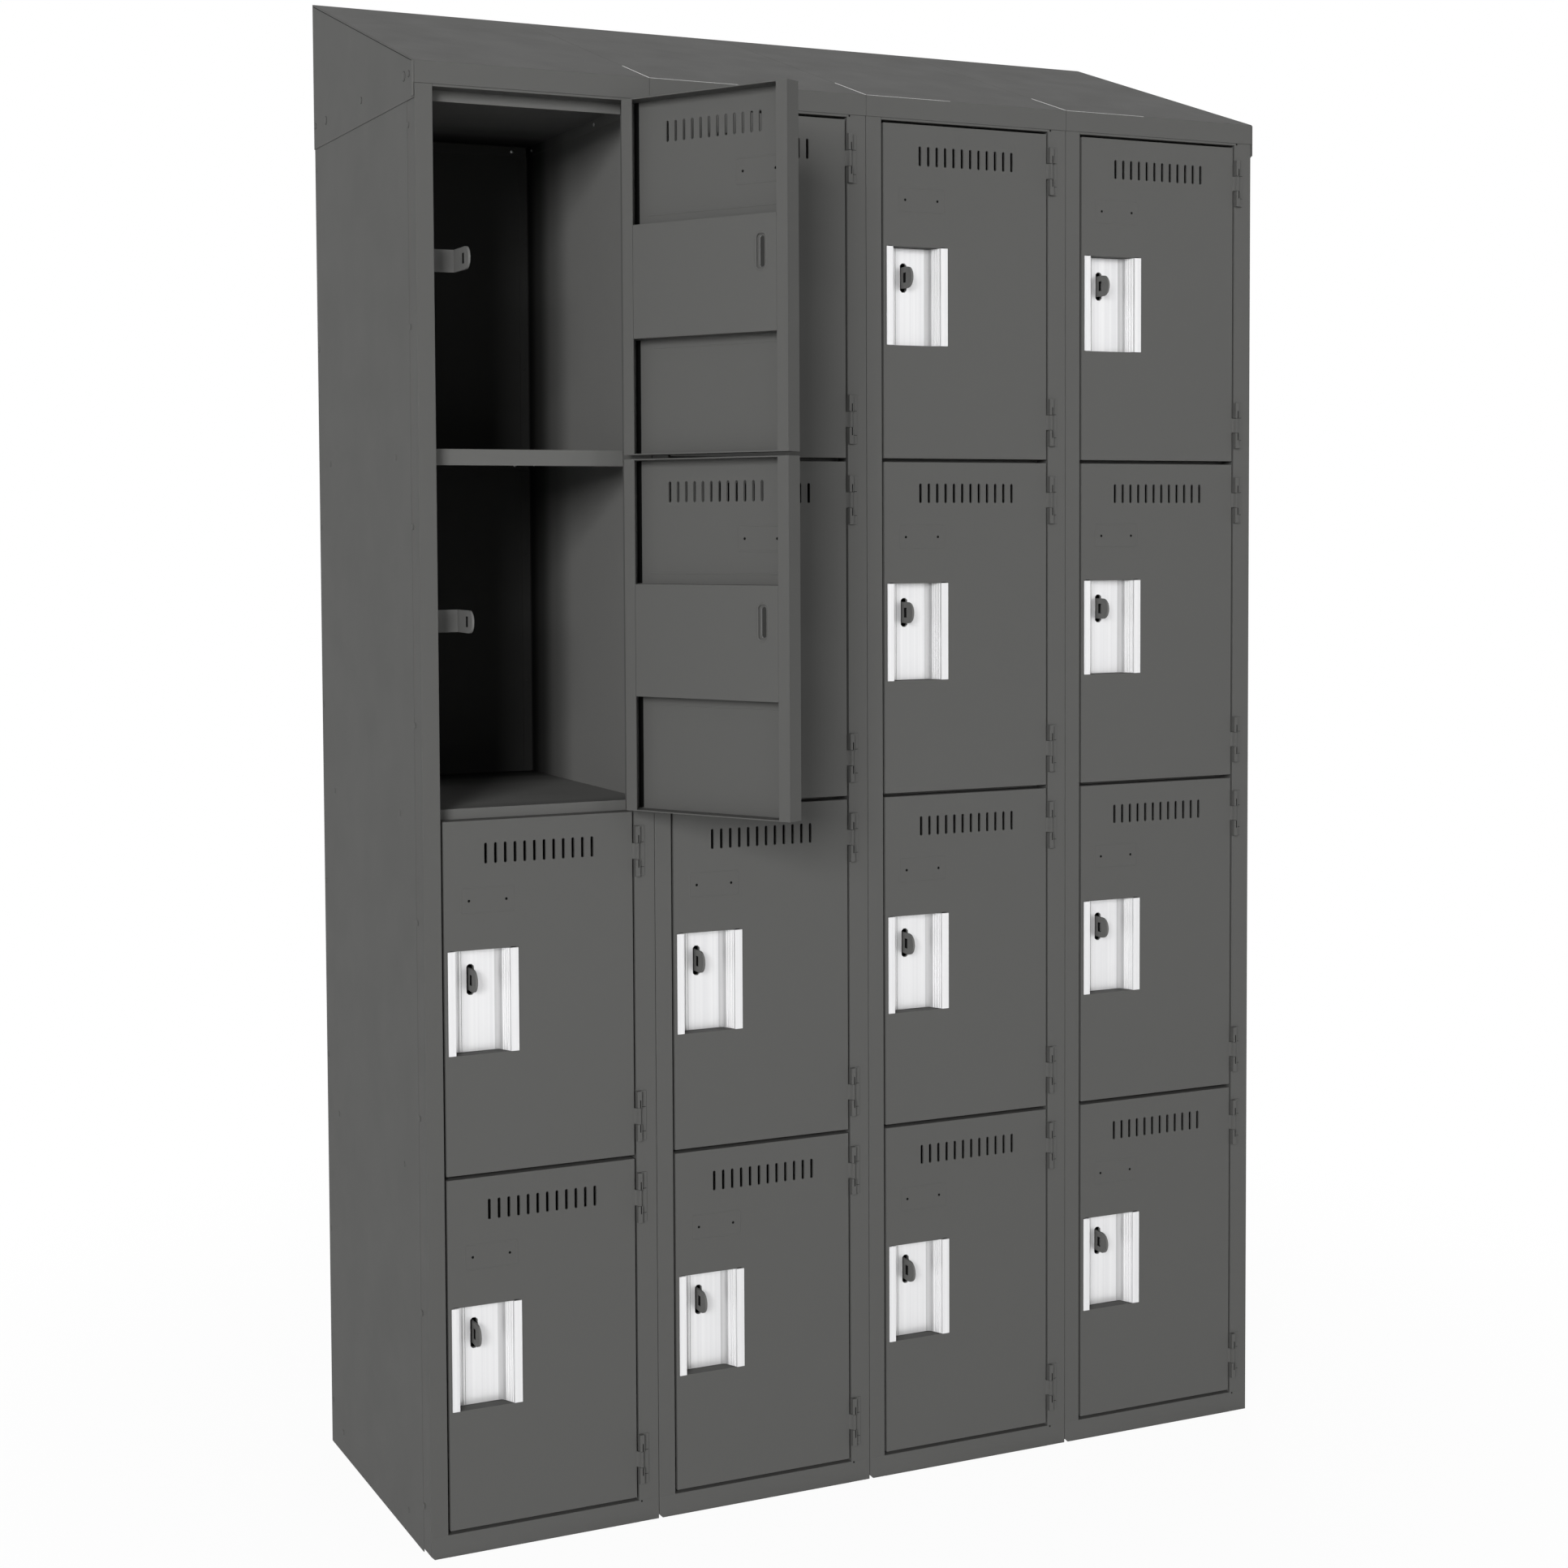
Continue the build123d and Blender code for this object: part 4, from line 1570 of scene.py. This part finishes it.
@dataclass
class Studio:
    """White floor, soft light and the photograph's camera, in metres."""

    camera_place: Place = (-1.51363, -3.16138, 1.27063)
    rotation: Place = (1.588627, -0.361775, 0.337761)
    focal_pixels: float = 3088.65
    principal_row: float = 800.0
    image_size: float = 1932.0
    sensor: float = 36.0
    view_end: float = 100.0
    world_light: float = 0.40
    zenith_light: float = 0.08
    floor_radius: float = 40.0
    floor_segments: int = 96
    floor_drop: float = 0.0005
    floor_colour: Colour = (0.94, 0.94, 0.94, 1.0)
    shadow_reach: Point = (0.5, 1.9)
    shadow_white: float = 0.95
    lamps: tuple[Lamp, ...] = (
        Lamp("key", (-9.0, -12.0, 4.4), 4.6, 2230.0),
        Lamp("fill", (6.0, -13.5, 3.6), 6.0, 424.0),
        Lamp("rim", (-13.0, 4.0, 3.0), 6.0, 120.0),
        Lamp("back", (7.0, 12.0, 1.9), 3.6, 1250.0),
    )

    def build(self) -> None:
        """Make the floor, the world, the lamps and the camera."""
        self._floor()
        self._world()
        for lamp in self.lamps:
            lamp.build()
        self._camera()

    def _floor(self) -> None:
        """Pale floor that keeps a faint shadow."""
        data = bpy.data.meshes.new("studio_floor")
        shape = bmesh.new()
        bmesh.ops.create_circle(
            shape, cap_ends=True, radius=self.floor_radius, segments=self.floor_segments
        )
        shape.to_mesh(data)
        shape.free()
        floor = bpy.data.objects.new("studio_floor", data)
        bpy.context.scene.collection.objects.link(floor)
        floor.location.z = -self.floor_drop
        data.materials.append(self._floor_material())

    def _floor_material(self) -> bpy.types.Material:
        """Nearly full white to the camera and in reflections, with a little shading round the foot."""
        material = bpy.data.materials.new("pale_floor")
        material.use_nodes = True
        tree = material.node_tree
        tree.nodes.clear()
        near, far = self.shadow_reach
        span = {"From Min": near, "From Max": far, "To Min": self.shadow_white, "To Max": 1.0}
        matt = add_node(tree, "BsdfDiffuse", {"Color": self.floor_colour})
        white = add_node(tree, "Emission")
        path = add_node(tree, "LightPath")
        place = add_node(tree, "TexCoord")
        reach = add_node(tree, "VectorMath", operation="LENGTH")
        fade = add_node(tree, "MapRange", span, interpolation_type="SMOOTHSTEP")
        direct = add_node(tree, "Math", operation="MAXIMUM")
        seen = add_node(tree, "Math", operation="MULTIPLY")
        blend = add_node(tree, "MixShader")
        sink = add_node(tree, "OutputMaterial")
        wire(
            tree,
            (place, "Object", reach, 0),
            (reach, "Value", fade, "Value"),
            (path, "Is Camera Ray", direct, 0),
            (path, "Is Glossy Ray", direct, 1),
            (direct, 0, seen, 0),
            (fade, "Result", seen, 1),
            (seen, 0, blend, "Fac"),
            (matt, "BSDF", blend, 1),
            (white, "Emission", blend, 2),
            (blend, "Shader", sink, "Surface"),
        )
        return material

    def _world(self) -> None:
        """White surroundings: full white to the camera and in reflections, softer as light."""
        world = bpy.data.worlds.new("studio")
        world.use_nodes = True
        tree = world.node_tree
        shade = tree.nodes["Background"]
        shade.inputs["Color"].default_value = (1.0, 1.0, 1.0, 1.0)
        path = add_node(tree, "LightPath")
        mirror = add_node(tree, "Math", operation="MAXIMUM")
        through = add_node(tree, "Math", operation="MAXIMUM")
        place = add_node(tree, "TexCoord")
        split = add_node(tree, "SeparateXYZ")
        light = {"To Min": self.world_light, "To Max": self.zenith_light}
        dome = add_node(tree, "MapRange", light)
        strength = add_node(tree, "MapRange", {"To Max": 1.0})
        wire(
            tree,
            (place, "Generated", split, "Vector"),
            (split, "Z", dome, "Value"),
            (dome, "Result", strength, "To Min"),
            (path, "Is Camera Ray", mirror, 0),
            (path, "Is Glossy Ray", mirror, 1),
            (mirror, 0, through, 0),
            (path, "Is Transmission Ray", through, 1),
            (through, 0, strength, "Value"),
            (strength, "Result", shade, "Strength"),
        )
        bpy.context.scene.world = world

    def _camera(self) -> None:
        """Place the camera as the photograph was taken."""
        turn = Vector(self.rotation)
        view = Matrix.Rotation(turn.length, 3, turn.normalized())
        right, down, ahead = view[0], view[1], view[2]
        pose = Matrix((right, -down, -ahead)).transposed().to_4x4()
        pose.translation = Vector(self.camera_place)
        data = bpy.data.cameras.new("photo_camera")
        data.sensor_width = self.sensor
        data.lens = self.focal_pixels / self.image_size * self.sensor
        data.shift_y = self.principal_row / self.image_size - 0.5
        data.clip_end = self.view_end
        camera = bpy.data.objects.new("photo_camera", data)
        camera.matrix_world = pose
        bpy.context.scene.collection.objects.link(camera)
        bpy.context.scene.camera = camera


def main() -> None:
    """Dress the cabinet and set up the studio."""
    logging.basicConfig(level=logging.INFO, format="%(name)s: %(message)s")
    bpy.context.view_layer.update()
    layout = Layout()
    finishes = Finishes()
    SolidDress(finishes).build()
    for name, column, tier in layout.lockers():
        DoorDress(layout, finishes, name, column, tier).build()
    HingeDress(layout, finishes).build()
    CaseDress(layout, finishes).build()
    InteriorDress(layout, finishes).build()
    Studio().build()
    bpy.context.scene.view_settings.view_transform = "Standard"


if __name__ == "__main__":
    main()
